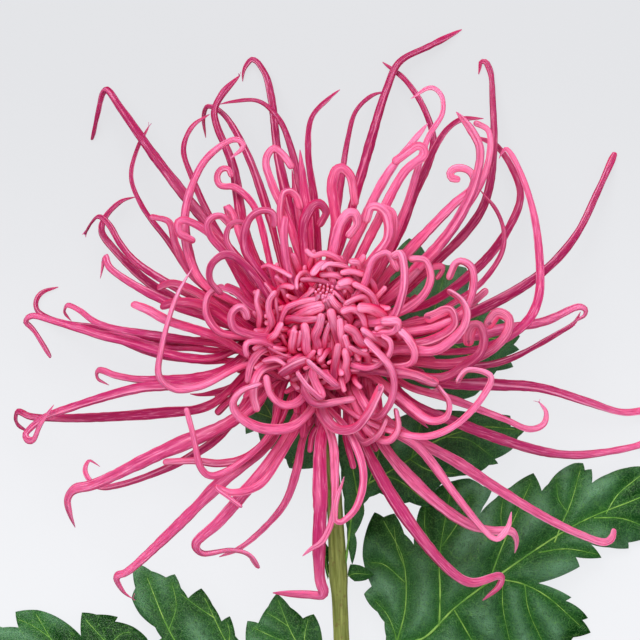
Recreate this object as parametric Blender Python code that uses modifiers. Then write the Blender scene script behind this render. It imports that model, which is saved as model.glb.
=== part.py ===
"""A cut spider chrysanthemum, lying down with its bloom facing up.

The bloom leans on its outer florets and two leaves, and the stem's cut end lies on the same surface.
Sizes are in millimetres on a drawing plane that is level, with X to the right and Y from the cut end
to the bloom. PART_ORIGIN is the point of that plane under the middle of the whole flower.
"""
import math

import bmesh
import bpy
import numpy as np
from mathutils import Matrix, Vector, geometry, kdtree

NAME = "spider_chrysanthemum"
MM = 0.001
PART_ORIGIN = (2.5, -54.8)

# The head: a round receptacle whose axis leans from straight up towards +Y
HEAD_CENTRE = np.array((1.0, -8.0, 46.0))
HEAD_LEAN = math.radians(32)
HEAD_RADIUS = 9.0
ROW_ANGLES = (100, 89, 78, 67, 57, 48)
ROW_PITCH = 2.0
FLORET_EXIT = 3.5
FLORET_INSET = 1.2
CLEARANCE = 0.35
HEAD_ROUNDNESS = 2

# The green cup of bracts behind the head
CUP_RIM_ANGLE = 116
CUP_WALL = 1.1
CUP_STEPS = 7
CUP_FOOT_RADIUS = 3.0
CUP_SEGMENTS = 24

# The button of short florets in the middle
BUTTON_COUNT = 44
BUTTON_SPREAD = 50
BUTTON_LONG = 15.0
BUTTON_SHORT = 5.0
BUTTON_RADIUS = 0.95
BUTTON_EYE_RADIUS = 0.52
BUTTON_LEAN_IN = 0.55
BUTTON_TWIST = 0.25
BUTTON_BULGE = 1.08
GOLDEN_ANGLE = math.radians(137.508)

# A floret's radius along it, as shares of its widest radius and of its length
FOOT_RADIUS = 0.52
WIDEST_AT = 0.45
TIP_RADIUS = 0.34
TIP_LENGTH = 0.22

# How routes are smoothed and kept apart
SAMPLE_STEP = 1.6
SUBDIVISIONS = 24
FLORET_GAP = 0.55
SETTLE_STEPS = 140
STEPS_PER_SEARCH = 6
SPRING_SHARE = 0.5
SPRING = 0.015
SIDEWAYS = 0.45
LIFT = 0.15
LONGEST_MOVE = 0.6
HELD_LENGTH = 1.0
LOOSENING_LENGTH = 6.0
PAIR_REACH = 4.6
SELF_SKIP = 6

# How tubes are drawn
TURN_PER_STATION = math.radians(26)
STATION_REACH = 15.0
LONG_SIDES = 1
SHORT_SIDES = 0

# The stem: route and radius at each point
STEM_ROUTE = (
    (9.0, -182.0, 2.15, 2.1), (8.6, -150.0, 4.2, 2.05), (7.6, -112.0, 7.6, 2.0), (7.1, -97.0, 9.2, 2.25),
    (6.6, -86.0, 10.4, 2.0), (5.9, -70.0, 12.6, 2.0), (5.6, -65.0, 13.3, 2.3), (5.1, -55.0, 14.9, 2.0),
    (4.2, -42.0, 18.0, 1.95), (2.6, -31.0, 22.0, 1.95), (1.5, -22.5, 27.2, 2.0), (1.0, -14.6, 35.6, 2.4),
)
STEM_SIDES = 3
STEM_STEP = 6.0
STEM_PROBE = 2.0

# Outer florets: widest radius, then the points that each passes through after it leaves the head
FLORETS = {
    "left": (
        (1.0, ((-20, 15, 38), (-39, 38, 22), (-49, 52, 11), (-53, 57, 7), (-55, 51, 4), (-56.5, 45, 0.3))),
        (0.75, ((-25, 5, 36), (-38, 20, 24), (-44, 28, 17), (-46.5, 35, 12), (-45, 42, 8), (-42, 48, 4))),
        (1.1, ((-22, -1, 40), (-40, 7, 27), (-51, 17, 14), (-54, 21.5, 9), (-53, 25, 6), (-49, 29, 4),
               (-45.5, 30, 3))),
        (1.0, ((-32, 5.5, 42), (-45, 13.5, 30), (-49, 18, 25), (-52, 23, 21), (-54.5, 25, 18),
               (-56.5, 23.5, 15), (-58, 21, 12))),
        (1.2, ((-20, -3, 42), (-38, 4, 33), (-47.5, 9, 26), (-52, 12.5, 22), (-53, 15, 20),
               (-54.2, 9.5, 18))),
        (1.15, ((-28, -6, 34), (-54, -3, 12), (-66, -1, 3), (-70.3, 1.5, 1.5), (-70.5, 4, 1.2),
                (-69, 6, 1), (-65, 7.3, 0.3))),
        (1.2, ((-26, -10.5, 42), (-49, -6, 30), (-65, -1.5, 22), (-71.5, 0, 18), (-73, -1.2, 16.5),
               (-71, -3.5, 15), (-67, -10, 12))),
        (1.1, ((-20, -8, 47), (-39, -5, 38), (-54.5, -2, 28), (-59.5, 1.5, 24), (-62.5, 2.7, 22),
               (-63.2, 1, 20), (-61.5, -1.2, 18))),
        (1.0, ((-16, -12, 55), (-29, -17.5, 58), (-35.5, -18, 60), (-39, -15, 63), (-38.5, -8.5, 66),
               (-35, 4, 68), (-30.7, 12, 66))),
        (1.15, ((-24, -14, 44), (-42, -16, 36), (-50, -15, 31), (-54.6, -13.6, 28), (-55, -15.5, 26.5),
                (-52, -17.3, 25))),
        (1.25, ((-26, -22, 42), (-39, -24.3, 37), (-63, -25.7, 24), (-72, -25.2, 19), (-75, -24, 17),
                (-75.4, -27, 15), (-73.5, -28.5, 14))),
        (1.25, ((-26, -16, 48), (-44, -18, 42), (-61.5, -23, 32), (-69, -26, 27), (-73, -30, 25),
                (-71, -31.2, 28), (-69, -27, 31), (-65.7, -22.3, 33))),
        (1.25, ((-18, -24, 44), (-40.5, -35, 40), (-56, -42.3, 32), (-60.7, -43.5, 29), (-62.3, -46, 27),
                (-61.7, -50, 25), (-60.5, -53, 23))),
        (0.95, ((-22, -28, 40), (-31.7, -35.3, 36), (-48.7, -42.2, 28), (-55, -42.7, 24), (-58, -39, 21),
                (-57, -36.3, 20), (-54.3, -37.8, 19))),
    ),
    "lower": (
        (1.3, ((-10, -29, 48), (-24, -42, 46), (-37, -54.8, 41), (-47.5, -64.2, 35), (-50, -65.3, 33),
               (-48, -69.5, 30), (-45.7, -71, 29))),
        (1.3, ((-7, -29.5, 52), (-15, -40.7, 53), (-24, -51.2, 50), (-30, -57, 46), (-28.5, -59.3, 44),
               (-21, -58.5, 43), (-16.8, -59.7, 42), (-14.7, -62.7, 40))),
        (0.95, ((-3, -30, 49), (-4.7, -38, 48), (-7.5, -46.2, 45), (-12, -52, 42), (-19, -58, 38),
                (-24.2, -60.3, 35))),
        (1.55, ((1.5, -29.5, 54), (1.2, -47, 56), (0.8, -57.5, 54), (1, -66, 50), (1.8, -69.6, 48),
                (-2, -69.6, 47), (-10.7, -69.2, 44))),
        (1.0, ((3.7, -29.5, 58), (4.7, -40, 60), (4.2, -50, 60), (1.5, -56.2, 59), (-1.2, -58, 58),
               (-3.3, -59.8, 57))),
        (1.1, ((8.5, -29.5, 62), (11.7, -38.2, 65), (11.2, -44.5, 66), (9, -49, 67), (5.3, -51.4, 68),
               (5, -47, 69), (7, -40, 69))),
        (1.3, ((12, -32, 52), (22.5, -50.5, 50), (34.5, -64.6, 42), (39, -66.8, 39), (46.3, -65.2, 35),
               (46, -67.5, 34), (41.8, -71.2, 33))),
        (1.3, ((16, -31, 48), (26, -43, 46), (38, -52, 41), (44.3, -53.7, 38), (49, -54, 36),
               (50.3, -56.7, 34), (49.8, -59.3, 33))),
        (1.1, ((16, -26, 54), (26, -33.2, 54), (34.7, -44.5, 51), (42, -53.5, 47), (45, -55.8, 46),
               (47.8, -53.2, 45), (48.8, -49, 45))),
        (1.3, ((16, -24, 46), (36.5, -37.2, 40), (47, -44.2, 35), (57.5, -50.5, 29), (66, -54.7, 24),
               (72.5, -56.8, 20), (74.3, -55.7, 18.5), (74.8, -54, 18))),
    ),
    "right": (
        (1.25, ((22, -20, 42), (38, -27.7, 33), (55.7, -33.7, 20), (64.5, -35, 13), (71.5, -34.5, 8),
                (81, -32.7, 3.5), (88, -30, 0.3))),
        (1.35, ((26, -15.5, 35), (45, -17.2, 24), (56, -18, 17), (68, -21.5, 10), (76.7, -24.2, 5),
                (81, -24, 3), (87, -22.5, 0.3))),
        (1.05, ((22, -17, 48), (33, -20.5, 46), (47, -25.7, 41), (53.5, -28.3, 38), (57, -27, 36),
                (57.6, -24, 35), (55.7, -21.4, 34))),
        (1.3, ((20, -8, 45), (38, -5, 39), (47, -3.2, 34), (57.5, -1.3, 28), (66.5, 2.3, 23),
               (68, 0.8, 22), (64.8, -1.6, 22))),
        (1.0, ((22, -11, 43), (40, -12.5, 33), (48.7, -10.7, 25), (61, -4.2, 17), (65, -1.6, 14),
               (66.5, 1, 12))),
        (1.15, ((20, -5, 40), (38, 0.3, 30), (56.5, 10.7, 17), (65.3, 20.2, 10), (71, 31.5, 5),
                (75.2, 40.8, 0.3))),
        (1.05, ((22, -9, 50), (42, -8, 46), (52, -2.3, 43), (55.6, 4, 40), (55.7, 18, 34),
                (53.5, 29.7, 28), (49.6, 39.5, 24), (47.5, 42, 23), (46, 39.6, 22))),
        (0.7, ((22, -3, 46), (34, 3, 42), (41, 8, 39), (46.5, 16, 34), (47, 21.5, 31), (45.2, 26.5, 29),
               (41, 31.8, 27))),
        (1.15, ((26, 2.2, 30), (40, 11.5, 22), (48, 21.2, 15), (51.5, 30, 10), (49.7, 36.5, 7),
                (45.5, 42.8, 4), (40.2, 45.3, 0.3))),
    ),
    "top": (
        (1.15, ((16, 2, 38), (28.5, 12, 30), (41.5, 26.5, 18), (44.6, 40, 10), (44.5, 54, 4),
                (43.8, 62, 1.5), (42, 64.6, 1), (41, 61, 0.3))),
        (1.05, ((12, 6, 46), (20, 19, 40), (26, 34, 32), (32.7, 46.5, 24), (36.5, 49.3, 22),
                (42, 49.6, 20))),
        (1.0, ((10, 4, 42), (19, 20, 32), (28, 38, 20), (29.5, 44, 16), (27, 52.7, 10), (22.3, 59.7, 5),
               (16.8, 64, 0.3))),
        (0.9, ((14, 8, 50), (22, 26, 42), (28, 44.5, 33), (31.7, 51, 30), (31.3, 55.5, 28),
               (28.8, 57.3, 27), (23.8, 54.5, 26))),
        (0.95, ((5.5, 8, 41), (11, 22, 35), (17.5, 35, 27), (24.5, 44, 23), (28, 48.3, 20))),
        (1.15, ((4, 9, 37), (9, 27, 27), (14, 45, 15), (17.7, 57, 8), (21, 64, 5), (28.5, 68, 3),
                (36.7, 72.2, 0.3))),
        (0.8, ((2.5, 10, 34), (5.5, 28, 22), (8, 44.5, 12), (10, 51.5, 8), (14, 55.5, 4),
               (17.5, 56.6, 0.5))),
        (1.0, ((0.5, 12, 42), (-0.5, 29, 30), (-2, 41, 21), (-1, 50, 14), (3.5, 55, 9), (6, 57, 7))),
        (1.1, ((-3, 10, 36), (-6, 24, 27), (-9.5, 40, 17), (-11.3, 55, 7), (-13, 61.3, 4), (-16, 64.7, 2),
               (-18.2, 62, 1.2), (-18.5, 59.2, 0.3))),
        (0.95, ((-2, 12, 44), (-3.5, 28, 35), (-6, 41, 27), (-9.5, 49.7, 22), (-14.5, 54, 19),
                (-21.5, 53.8, 17), (-24.5, 53, 16))),
        (1.2, ((-11.5, 5, 44), (-18, 22, 36), (-21, 38, 26), (-25, 48, 18), (-25.5, 51.5, 16),
               (-23.5, 56, 12), (-19.2, 60.5, 9))),
        (0.95, ((-7, 8, 38), (-12, 26, 28), (-17.7, 41.5, 17), (-23.5, 51, 9), (-27.2, 52.8, 6),
                (-28.4, 50, 2.5), (-27.8, 45, 0.3))),
        (0.85, ((-14, 6, 40), (-24, 20, 30), (-31, 34.5, 20), (-33.3, 42, 15), (-31, 47.8, 11),
                (-26.8, 50.8, 8.5))),
        (1.1, ((-16, 1, 50), (-29, 9, 46), (-32.8, 22, 42), (-31.5, 31, 40), (-27, 39.8, 38),
               (-20, 44.2, 37), (-18.1, 42.6, 37), (-21.3, 39.5, 37))),
        (1.15, ((12, 4, 50), (22.3, 15.3, 46), (34, 27.5, 41), (39.6, 33, 39), (38.5, 36.2, 38),
                (35, 37, 38), (33.3, 35, 38), (35.5, 34.2, 38))),
        (1.25, ((14, 0, 54), (28, 14.5, 50), (36, 25, 46), (40.2, 35, 42), (41, 42, 39), (38.5, 47, 37),
                (35.2, 51, 35))),
    ),
}

# Hooked florets of the inner rows, which arch up and bend back
HOOKS = (
    (0.9, ((-3, 12, 56), (-7, 24, 53), (-11, 33, 50), (-12.5, 39, 48), (-10.5, 41.9, 47), (-8, 40, 47),
           (-6.3, 37.5, 47))),
    (0.8, ((-10, 8, 44), (-17, 24, 38), (-21, 32, 35), (-24, 34, 34), (-24.5, 36, 34), (-21.5, 37.5, 34))),
    (1.1, ((-24, -5.5, 52), (-37, -1.2, 46), (-42, 1.5, 43), (-45.3, 2.8, 41))),
    (0.8, ((-12, -30, 53), (-22.5, -38.8, 55), (-26.5, -39.8, 56), (-28.7, -37.8, 57), (-30.5, -30, 59),
           (-32.2, -23.5, 60))),
    (0.85, ((-10, -28, 50), (-17, -35, 50), (-24, -36.8, 49), (-30, -36.2, 47.5), (-37.5, -36.5, 45))),
    (0.8, ((-6, -30, 53), (-14, -42, 56), (-21, -44, 58), (-25, -42.7, 59), (-22.5, -44.6, 60),
           (-19, -47.2, 60))),
    (1.1, ((24, -4, 55), (33, -0.5, 57), (38.5, 3, 58), (42, 6, 59))),
    (1.15, ((18, -5, 58), (30, -2.5, 60), (37, 1.5, 62), (39.2, 8, 64), (38.3, 12.6, 65),
            (35.2, 13.6, 65), (33.3, 10, 64))),
    (1.15, ((20, -11, 52), (34, -11.7, 53), (42.7, -9, 53), (47.3, -4.5, 53), (48, -0.8, 53),
            (45.3, 0.6, 53), (43.2, -2, 53))),
    (1.15, ((18, -13, 57), (31, -15.5, 60), (37, -12.5, 61), (41, -9, 62), (41.8, -5, 62), (40, -2, 62),
            (38.2, -4, 61), (38, -6.5, 60))),
    (1.15, ((20, -8.5, 62), (29.5, -8.5, 66), (33.5, -6.2, 68), (36.8, -2.5, 70), (37.5, 1, 71),
            (36, 4, 71), (33.5, 5.8, 71))),
    (0.8, ((12, -26, 60), (21, -29.3, 62), (28, -30, 63), (35, -27, 64), (41.7, -19.8, 66), (43.5, -15, 67),
           (37.5, -13.6, 68), (35.5, -16, 68))),
    (0.8, ((18, 4, 42), (34, 22, 30), (42.5, 36, 22), (43.8, 44.5, 19), (43, 47, 18), (40.3, 48.4, 17))),
    (1.05, ((8, 8, 56), (15, 23, 54), (22, 36, 50), (27, 40.5, 48), (26, 42.5, 48), (20, 38.7, 47))),
    (1.0, ((-11, 6, 60), (-17.5, 16, 64), (-17, 23.5, 66), (-13.5, 26.2, 67), (-10.7, 25.5, 67),
           (-10.5, 22.8, 66))),
    (1.0, ((-13, 3, 55), (-22, 15, 58), (-26.5, 20.5, 59), (-26.8, 23.6, 60), (-24, 25, 60),
           (-21.3, 22.6, 59))),
    (0.9, ((-10, 3, 60), (-18, 13, 63), (-22.3, 19, 64), (-21, 23, 65), (-18, 23, 65), (-17.2, 20.6, 64))),
    (1.0, ((-10, 1, 62), (-18, 13, 65), (-22.5, 15.3, 66), (-26, 12.8, 66), (-26.4, 9, 65), (-24, 6, 64))),
    (1.1, ((-10, -2, 60), (-17, 3, 62), (-20.5, 6, 63), (-23.5, 7, 63))),
    (1.0, ((-13, -6, 56), (-24, -4, 58), (-27.4, 1, 59), (-26.6, 5.5, 60), (-23.8, 7.2, 60))),
    (1.15, ((-10, -6, 62), (-17, -4.5, 66), (-20.7, -2.5, 68), (-20.8, 1, 69), (-18.5, 2.3, 69),
            (-17.3, 0, 68))),
    (0.9, ((-9, -9, 62), (-14, -6.3, 68), (-17.5, -7, 70), (-17.3, -9.5, 69))),
    (0.85, ((-9, -8, 60), (-14, -9, 64), (-16.2, -12, 64), (-17, -16, 62))),
    (0.9, ((-7, -10, 62), (-12.5, -11.3, 67), (-9.5, -11, 70), (-7.5, -12.5, 70))),
    (0.95, ((-2, -15, 58), (-4, -21, 62), (-8, -22.2, 64), (-11.3, -19.5, 66), (-12.3, -15.5, 67))),
    (1.15, ((0, -20, 56), (-5, -27, 60), (-12, -28.2, 63), (-18.5, -25.6, 66), (-20.7, -22, 68),
            (-18.5, -18.8, 69), (-14.5, -17.3, 69))),
    (1.0, ((-9, -12, 60), (-14, -14, 64), (-15.6, -19, 65), (-14.8, -23, 64))),
    (1.15, ((-2, -14, 62), (-2.6, -19, 66), (0, -21.7, 68), (8.8, -20.8, 69))),
    (1.15, ((1, -16, 58), (1.5, -23.5, 62), (5, -28, 64), (9.5, -28, 66), (12.5, -25, 68), (16, -18, 69))),
    (0.95, ((2, -14, 66), (5, -17.3, 72), (1, -14, 74), (-1.7, -11.5, 74))),
    (0.95, ((-1, -14, 66), (1.5, -20.5, 70), (-2, -17.5, 72), (-4.3, -14.5, 72))),
    (0.9, ((-5, -13, 66), (-8.5, -14.3, 70), (-5.5, -12, 73), (-3, -11, 73))),
    (1.2, ((10, -18, 58), (15, -25, 63), (18.3, -22, 67), (19.5, -17, 70), (18.5, -13, 72),
           (12.8, -6.5, 74))),
    (1.0, ((7, -12, 62), (13.5, -13, 67), (18, -10, 70), (18.6, -6.5, 71), (17, -5.2, 71))),
    (1.0, ((8, -6, 62), (15, -4.5, 67), (20, -3.5, 69), (20.5, -1.5, 70), (17, -1.2, 70))),
    (1.0, ((9, -10, 60), (19, -12.5, 64), (24, -11.5, 66), (24.5, -8.5, 68), (22.5, -5.2, 69),
           (21, -3.7, 69))),
    (1.4, ((9, -13, 62), (20, -14, 67), (25, -14.7, 68), (29.3, -16.2, 68))),
    (1.1, ((9, -20, 56), (14, -29.5, 60), (18, -31, 62), (20.3, -28, 64), (19.8, -24, 65))),
    (0.95, ((8, -20, 54), (9.5, -28, 58), (12, -31.3, 60), (15.5, -29.5, 62), (17, -26, 63))),
    (1.1, ((12, -14, 56), (21, -20.5, 60), (28.5, -26, 62), (32.5, -25, 64), (33, -21.5, 65),
           (30.5, -18, 65))),
    (1.2, ((10, -2, 62), (18.5, -1, 68), (21.5, 5.5, 71), (22, 11, 71), (21, 15.5, 70), (19.5, 15, 69))),
    (1.1, ((12, -2, 56), (22, 1.5, 61), (27, 5.5, 63), (28.6, 9.8, 64), (27, 14, 65), (24, 14.2, 65))),
    (1.1, ((12, 0, 58), (20, 6, 60), (25, 11, 60))),
    (1.1, ((7, 0, 62), (12, 8, 67), (14.5, 14.5, 69), (18, 15.7, 69), (20, 12, 68))),
    (1.1, ((7, 4, 58), (14, 14, 60), (18, 20, 60), (17, 26, 60), (14, 27.3, 60), (12.6, 24, 59))),
    (1.0, ((8, 4, 54), (15, 14, 56), (19, 20, 56), (18.8, 26, 56), (16, 27.2, 56))),
    (1.15, ((3, 6, 62), (4.2, 16, 66), (6.3, 23.7, 67), (9, 26, 67), (10.3, 23.3, 66), (8.4, 20.3, 65))),
    (1.1, ((2, 8, 48), (5, 22, 46), (4, 33, 44), (5.7, 37, 43), (8.3, 35.5, 43), (9.7, 28.5, 42))),
    (1.1, ((-1, 6, 58), (-3, 17, 60), (-2.8, 24, 61), (0.3, 28.2, 61), (2.6, 26, 60), (1.2, 23, 59))),
    (1.0, ((-4, 6, 56), (-7.5, 16, 57), (-8.9, 26, 56), (-7.5, 31.2, 56), (-5, 30, 55), (-4, 27.5, 55))),
    (1.0, ((-4, 4, 62), (-7, 12, 66), (-8, 20, 67), (-7.7, 24, 66))),
    (0.8, ((-14, 8, 50), (-19, 20, 48), (-21, 26, 46), (-22.3, 27.3, 45), (-21.5, 24.5, 44))),
    (1.0, ((-16, 4, 54), (-24, 18, 52), (-30.5, 23, 50), (-34, 23.8, 50), (-34.3, 21, 50), (-31, 19, 50))),
    (0.85, ((16, 2, 52), (28, 12, 50), (31.8, 12, 49), (30.5, 9.7, 48))),
    (1.05, ((-18, -2, 50), (-30, 6, 48), (-36, 8.2, 47), (-38.8, 7.3, 46))),
    (1.25, ((-18, -4, 54), (-28, 2.5, 53), (-35, 3.3, 52), (-37.8, 2.5, 51))),
    (0.85, ((-16, 0, 46), (-31, 10, 38), (-35.2, 18, 34), (-36.8, 23.5, 32), (-41, 24.8, 30))),
    (1.1, ((13, -7, 56), (24, -7, 59), (31, -5, 61), (34.8, -1.5, 62), (33.5, 1.4, 62), (28, -0.5, 61))),
    (1.3, ((13, -5, 50), (22, -2.5, 52), (34, -0.3, 52))),
)

# Leaves: the outline on the drawing plane, then points that the blade's middle surface passes through
LEAF_THICKNESS = 0.6
LEAF_GRID = 8.0
LEAF_MARGIN = 3.6
LEAF_PROBE = 3.0
LEAVES = {
    "leaf_lower_right": (
        ((9.9, -98), (17.5, -85.5), (16.5, -80), (12.5, -70), (14, -68), (11.8, -60.5), (12.5, -54.8),
         (15, -50), (17, -50.6), (19.5, -50.2), (22.2, -54.8), (24.6, -57.5), (25.2, -52.2),
         (26.3, -48.3), (28.5, -46), (31, -43), (35, -41.4), (38.5, -41), (42, -42.8), (43.7, -43.8),
         (42, -48), (39.5, -52.5), (36.8, -60), (39.9, -55), (41.3, -49.8), (45, -46), (49, -43),
         (54.5, -40.2), (56.8, -44), (58.5, -42.2), (61, -39.3), (65, -37.2), (67, -37.4), (69, -39),
         (69.5, -42), (73.5, -39.8), (78.5, -38.2), (82.2, -38), (86, -39.5), (89.5, -39.8),
         (93.5, -40.5), (92.5, -43.5), (88.5, -46), (89, -49), (84.8, -51), (84.8, -54.8),
         (78.5, -58), (74, -58), (71.2, -60.5), (65.8, -62.8), (56, -67.2), (63.5, -71), (66, -73.5),
         (67.8, -76), (68.5, -79.5), (64.8, -81), (61, -84.8), (56, -84), (51, -86.5), (46, -83.5),
         (42.2, -88), (37.2, -91), (33.5, -89), (28.5, -88.5), (24.8, -86.5), (19.5, -87.5), (10.2, -99.6)),
        ((10, -98.6, 9.4), (18, -86, 11), (27, -80, 12), (45, -66, 13), (66, -52, 9), (93, -41.5, 0.6),
         (15, -51, 9), (12.5, -62, 9), (34, -43, 11.4), (54, -42, 11), (66, -39, 7), (82, -39, 3.5),
         (68, -78, 3), (51, -86, 4), (30, -88, 7.5), (84, -54, 2.5))),
    "leaf_right": (
        ((9.1, -62), (10.2, -57), (9.8, -54.8), (12, -49.8), (12, -47.2), (13.5, -45.5), (16, -44.5),
         (18, -45.3), (21, -47), (23.5, -46.8), (28, -47.6), (30.2, -43.5), (32.8, -40.5), (36, -40.2),
         (41, -39.2), (43.5, -37.5), (45.2, -36.8), (45, -36), (49.2, -33.5), (50.8, -30.5),
         (51.8, -29), (49, -27.8), (48.5, -25.5), (44, -24.8), (38.5, -24.2), (33.5, -23.8),
         (27.2, -23.6), (21, -25.4), (15, -27.4), (10, -26.6), (6.2, -28.4), (5.6, -31.5), (6.3, -38.5),
         (7.1, -46), (7.8, -53.5), (8.5, -60)),
        ((9, -61, 14), (7.8, -52, 16), (7, -46, 17.5), (6.2, -38, 19.8), (6.4, -29, 22.5), (15, -43, 16.5),
         (25, -35, 18), (40, -28, 14), (51, -30, 9), (28, -47, 14.6), (45, -37, 11.5), (33, -24, 16),
         (33, -40, 15.5))),
    "leaf_upper_right": (
        ((4.6, -22.4), (9, -20.6), (16, -17.8), (23.5, -17.6), (31, -18.2), (36.5, -20.8), (40, -19.8),
         (43.5, -16), (45.5, -13.8), (49, -12.5), (48, -10), (50.5, -8.3), (49.8, -7.2), (50.8, -5.2),
         (46, -0.5), (41, 2.8), (36, 6), (34.8, 10.2), (33, 12.5), (28.5, 13.5), (26.5, 17.2),
         (23.5, 19), (20.5, 16.5), (18, 6.5), (14.5, -3.5), (11, -12), (8, -17.2), (4.4, -20.4)),
        ((4.5, -21.4, 28), (10, -17.5, 26), (18, -10, 24), (20, 6, 19), (23.5, 18, 13.5), (33, 11.5, 12),
         (35, -3, 15), (50, -6, 4), (48, -12, 5), (37, -20, 10), (24, -17, 19))),
    "leaf_lower_left": (
        ((4.3, -96.6), (-6.5, -94.2), (-13.5, -90), (-18, -84), (-20.3, -80.5), (-22, -76.2),
         (-23.8, -76.8), (-26, -72.8), (-29, -69.2), (-32.2, -71), (-34, -68.5), (-35.8, -65.5),
         (-37.8, -65.8), (-41.5, -64.2), (-44.5, -63), (-45.8, -64.2), (-45.5, -68.5), (-46.2, -71),
         (-44.5, -74.8), (-44, -80), (-47, -78.2), (-50.5, -76.2), (-58.5, -75.2), (-59.2, -80.5),
         (-64, -78), (-70.2, -74.2), (-75.2, -75), (-75, -78.5), (-79, -78.5), (-84, -78),
         (-84.5, -81), (-88.5, -83.5), (-86.5, -87), (-81.5, -89), (-82, -93.5), (-76.5, -94.8),
         (-71.5, -93.5), (-69, -98.5), (-62.8, -102), (-57.8, -99.8), (-55, -96), (-51.5, -103.5),
         (-46.5, -108), (-40.2, -107), (-37.8, -102), (-34, -107), (-27.8, -106.5), (-22.8, -102),
         (-19, -99), (-11.5, -98.8), (4.3, -98.6)),
        ((4, -97.6, 9.4), (-15, -93, 11), (-40, -88, 11), (-66, -87, 7), (-88, -84, 0.6), (-29, -71, 9),
         (-45, -64, 6), (-58, -76, 6), (-72, -75, 2.5), (-46, -107, 4), (-62, -101, 2), (-28, -106, 6))),
    "leaf_left": (
        ((-0.7, -24.4), (-3, -19.6), (-10, -18.6), (-16, -20.5), (-19.5, -23), (-17.5, -26),
         (-17.2, -29), (-14.6, -28.4), (-13.5, -32), (-11, -33.5), (-7.5, -36), (-6.5, -37.8),
         (-1, -38), (0.7, -36.8), (-0.3, -31)),
        ((-0.8, -24.8, 26), (-8, -25, 25.5), (-19, -23, 21), (-16, -29, 20), (-7, -37, 20.5),
         (0.4, -36, 22))),
    "leaf_left_small": (
        ((4.1, -92.2), (1.6, -84), (1, -78.5), (-0.8, -75.5), (-3.3, -76), (-6.5, -73.2), (-9.8, -70.5),
         (-12, -73), (-14.5, -77.2), (-16.8, -77.2), (-17.5, -81.5), (-15, -86.2), (-10, -88.6),
         (-3.5, -89.6), (3.9, -93.8)),
        ((3.9, -93, 10.6), (-3, -86, 14.5), (-9.5, -71.5, 13.5), (-16.5, -79, 13.5), (0.5, -79, 14))),
    "leaflet_right": (
        ((8.4, -65), (9, -62.9), (11, -62.8), (12.5, -63.5), (13.8, -65), (12.5, -66.2), (9.8, -66.4)),
        ((8.5, -65, 13.4), (11, -64.5, 13.8), (13.7, -65, 13.2), (9, -66.3, 13.4))),
    "leaflet_left": (
        ((3.0, -66), (2.2, -63), (1.6, -59.5), (2, -57.2), (2.9, -58.2), (3.1, -62)),
        ((3, -65.5, 13), (2, -60, 15), (2.6, -57.8, 15.4))),
}

# Finish of each kind of tissue: colour, roughness
TISSUES = {
    "petal": ((0.68, 0.08, 0.24, 1.0), 0.5),
    "leaf": ((0.045, 0.12, 0.04, 1.0), 0.45),
    "stem": ((0.16, 0.2, 0.06, 1.0), 0.5),
}


def head_frame():
    """The head's axis, its right and its up, as unit vectors."""
    axis = np.array((0.0, math.sin(HEAD_LEAN), math.cos(HEAD_LEAN)))
    right = np.array((1.0, 0.0, 0.0))
    return axis, right, np.cross(axis, right)


def on_head(polar, azimuth):
    """The direction from the head's centre at an angle from its axis, and round it."""
    axis, right, up = head_frame()
    around = right * math.cos(azimuth) + up * math.sin(azimuth)
    return axis * math.cos(polar) + around * math.sin(polar)


def head_angles(point):
    """A point's angle from the head's axis, and its angle round it."""
    axis, right, up = head_frame()
    outward = np.array(point) - HEAD_CENTRE
    polar = math.acos(outward @ axis / np.linalg.norm(outward))
    return polar, math.atan2(outward @ up, outward @ right)


def smooth_route(points, step):
    """Points a step apart along a centripetal Catmull-Rom curve through the given points."""
    points = np.array(points, dtype=float)
    ends = (2 * points[0] - points[1], 2 * points[-1] - points[-2])
    points = np.vstack((ends[0], points, ends[1]))
    fine = []
    for p0, p1, p2, p3 in zip(points, points[1:], points[2:], points[3:]):
        knots = np.cumsum([0.0] + [np.linalg.norm(b - a) ** 0.5 for a, b in ((p0, p1), (p1, p2), (p2, p3))])
        for t in np.linspace(knots[1], knots[2], SUBDIVISIONS, endpoint=False):
            a1 = p0 + (p1 - p0) * (t - knots[0]) / (knots[1] - knots[0])
            a2 = p1 + (p2 - p1) * (t - knots[1]) / (knots[2] - knots[1])
            a3 = p2 + (p3 - p2) * (t - knots[2]) / (knots[3] - knots[2])
            b1 = a1 + (a2 - a1) * (t - knots[0]) / (knots[2] - knots[0])
            b2 = a2 + (a3 - a2) * (t - knots[1]) / (knots[3] - knots[1])
            fine.append(b1 + (b2 - b1) * (t - knots[1]) / (knots[2] - knots[1]))
    fine.append(points[-2])
    fine = np.array(fine)
    along = np.concatenate(([0.0], np.cumsum(np.linalg.norm(np.diff(fine, axis=0), axis=1))))
    count = max(4, round(along[-1] / step) + 1)
    places = np.linspace(0.0, along[-1], count)
    return np.column_stack([np.interp(places, along, fine[:, axis]) for axis in range(fine.shape[1])])


def floret_radius(share, widest):
    """A floret's radius at a share of its length: slim at the foot, widest half way, thin at the tip."""
    foot = FOOT_RADIUS + (1 - FOOT_RADIUS) * np.clip(share / WIDEST_AT, 0.0, 1.0)
    tip = TIP_RADIUS + (1 - TIP_RADIUS) * np.sqrt(np.clip((1.0 - share) / TIP_LENGTH, 0.0, 1.0))
    return widest * foot * tip


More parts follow.
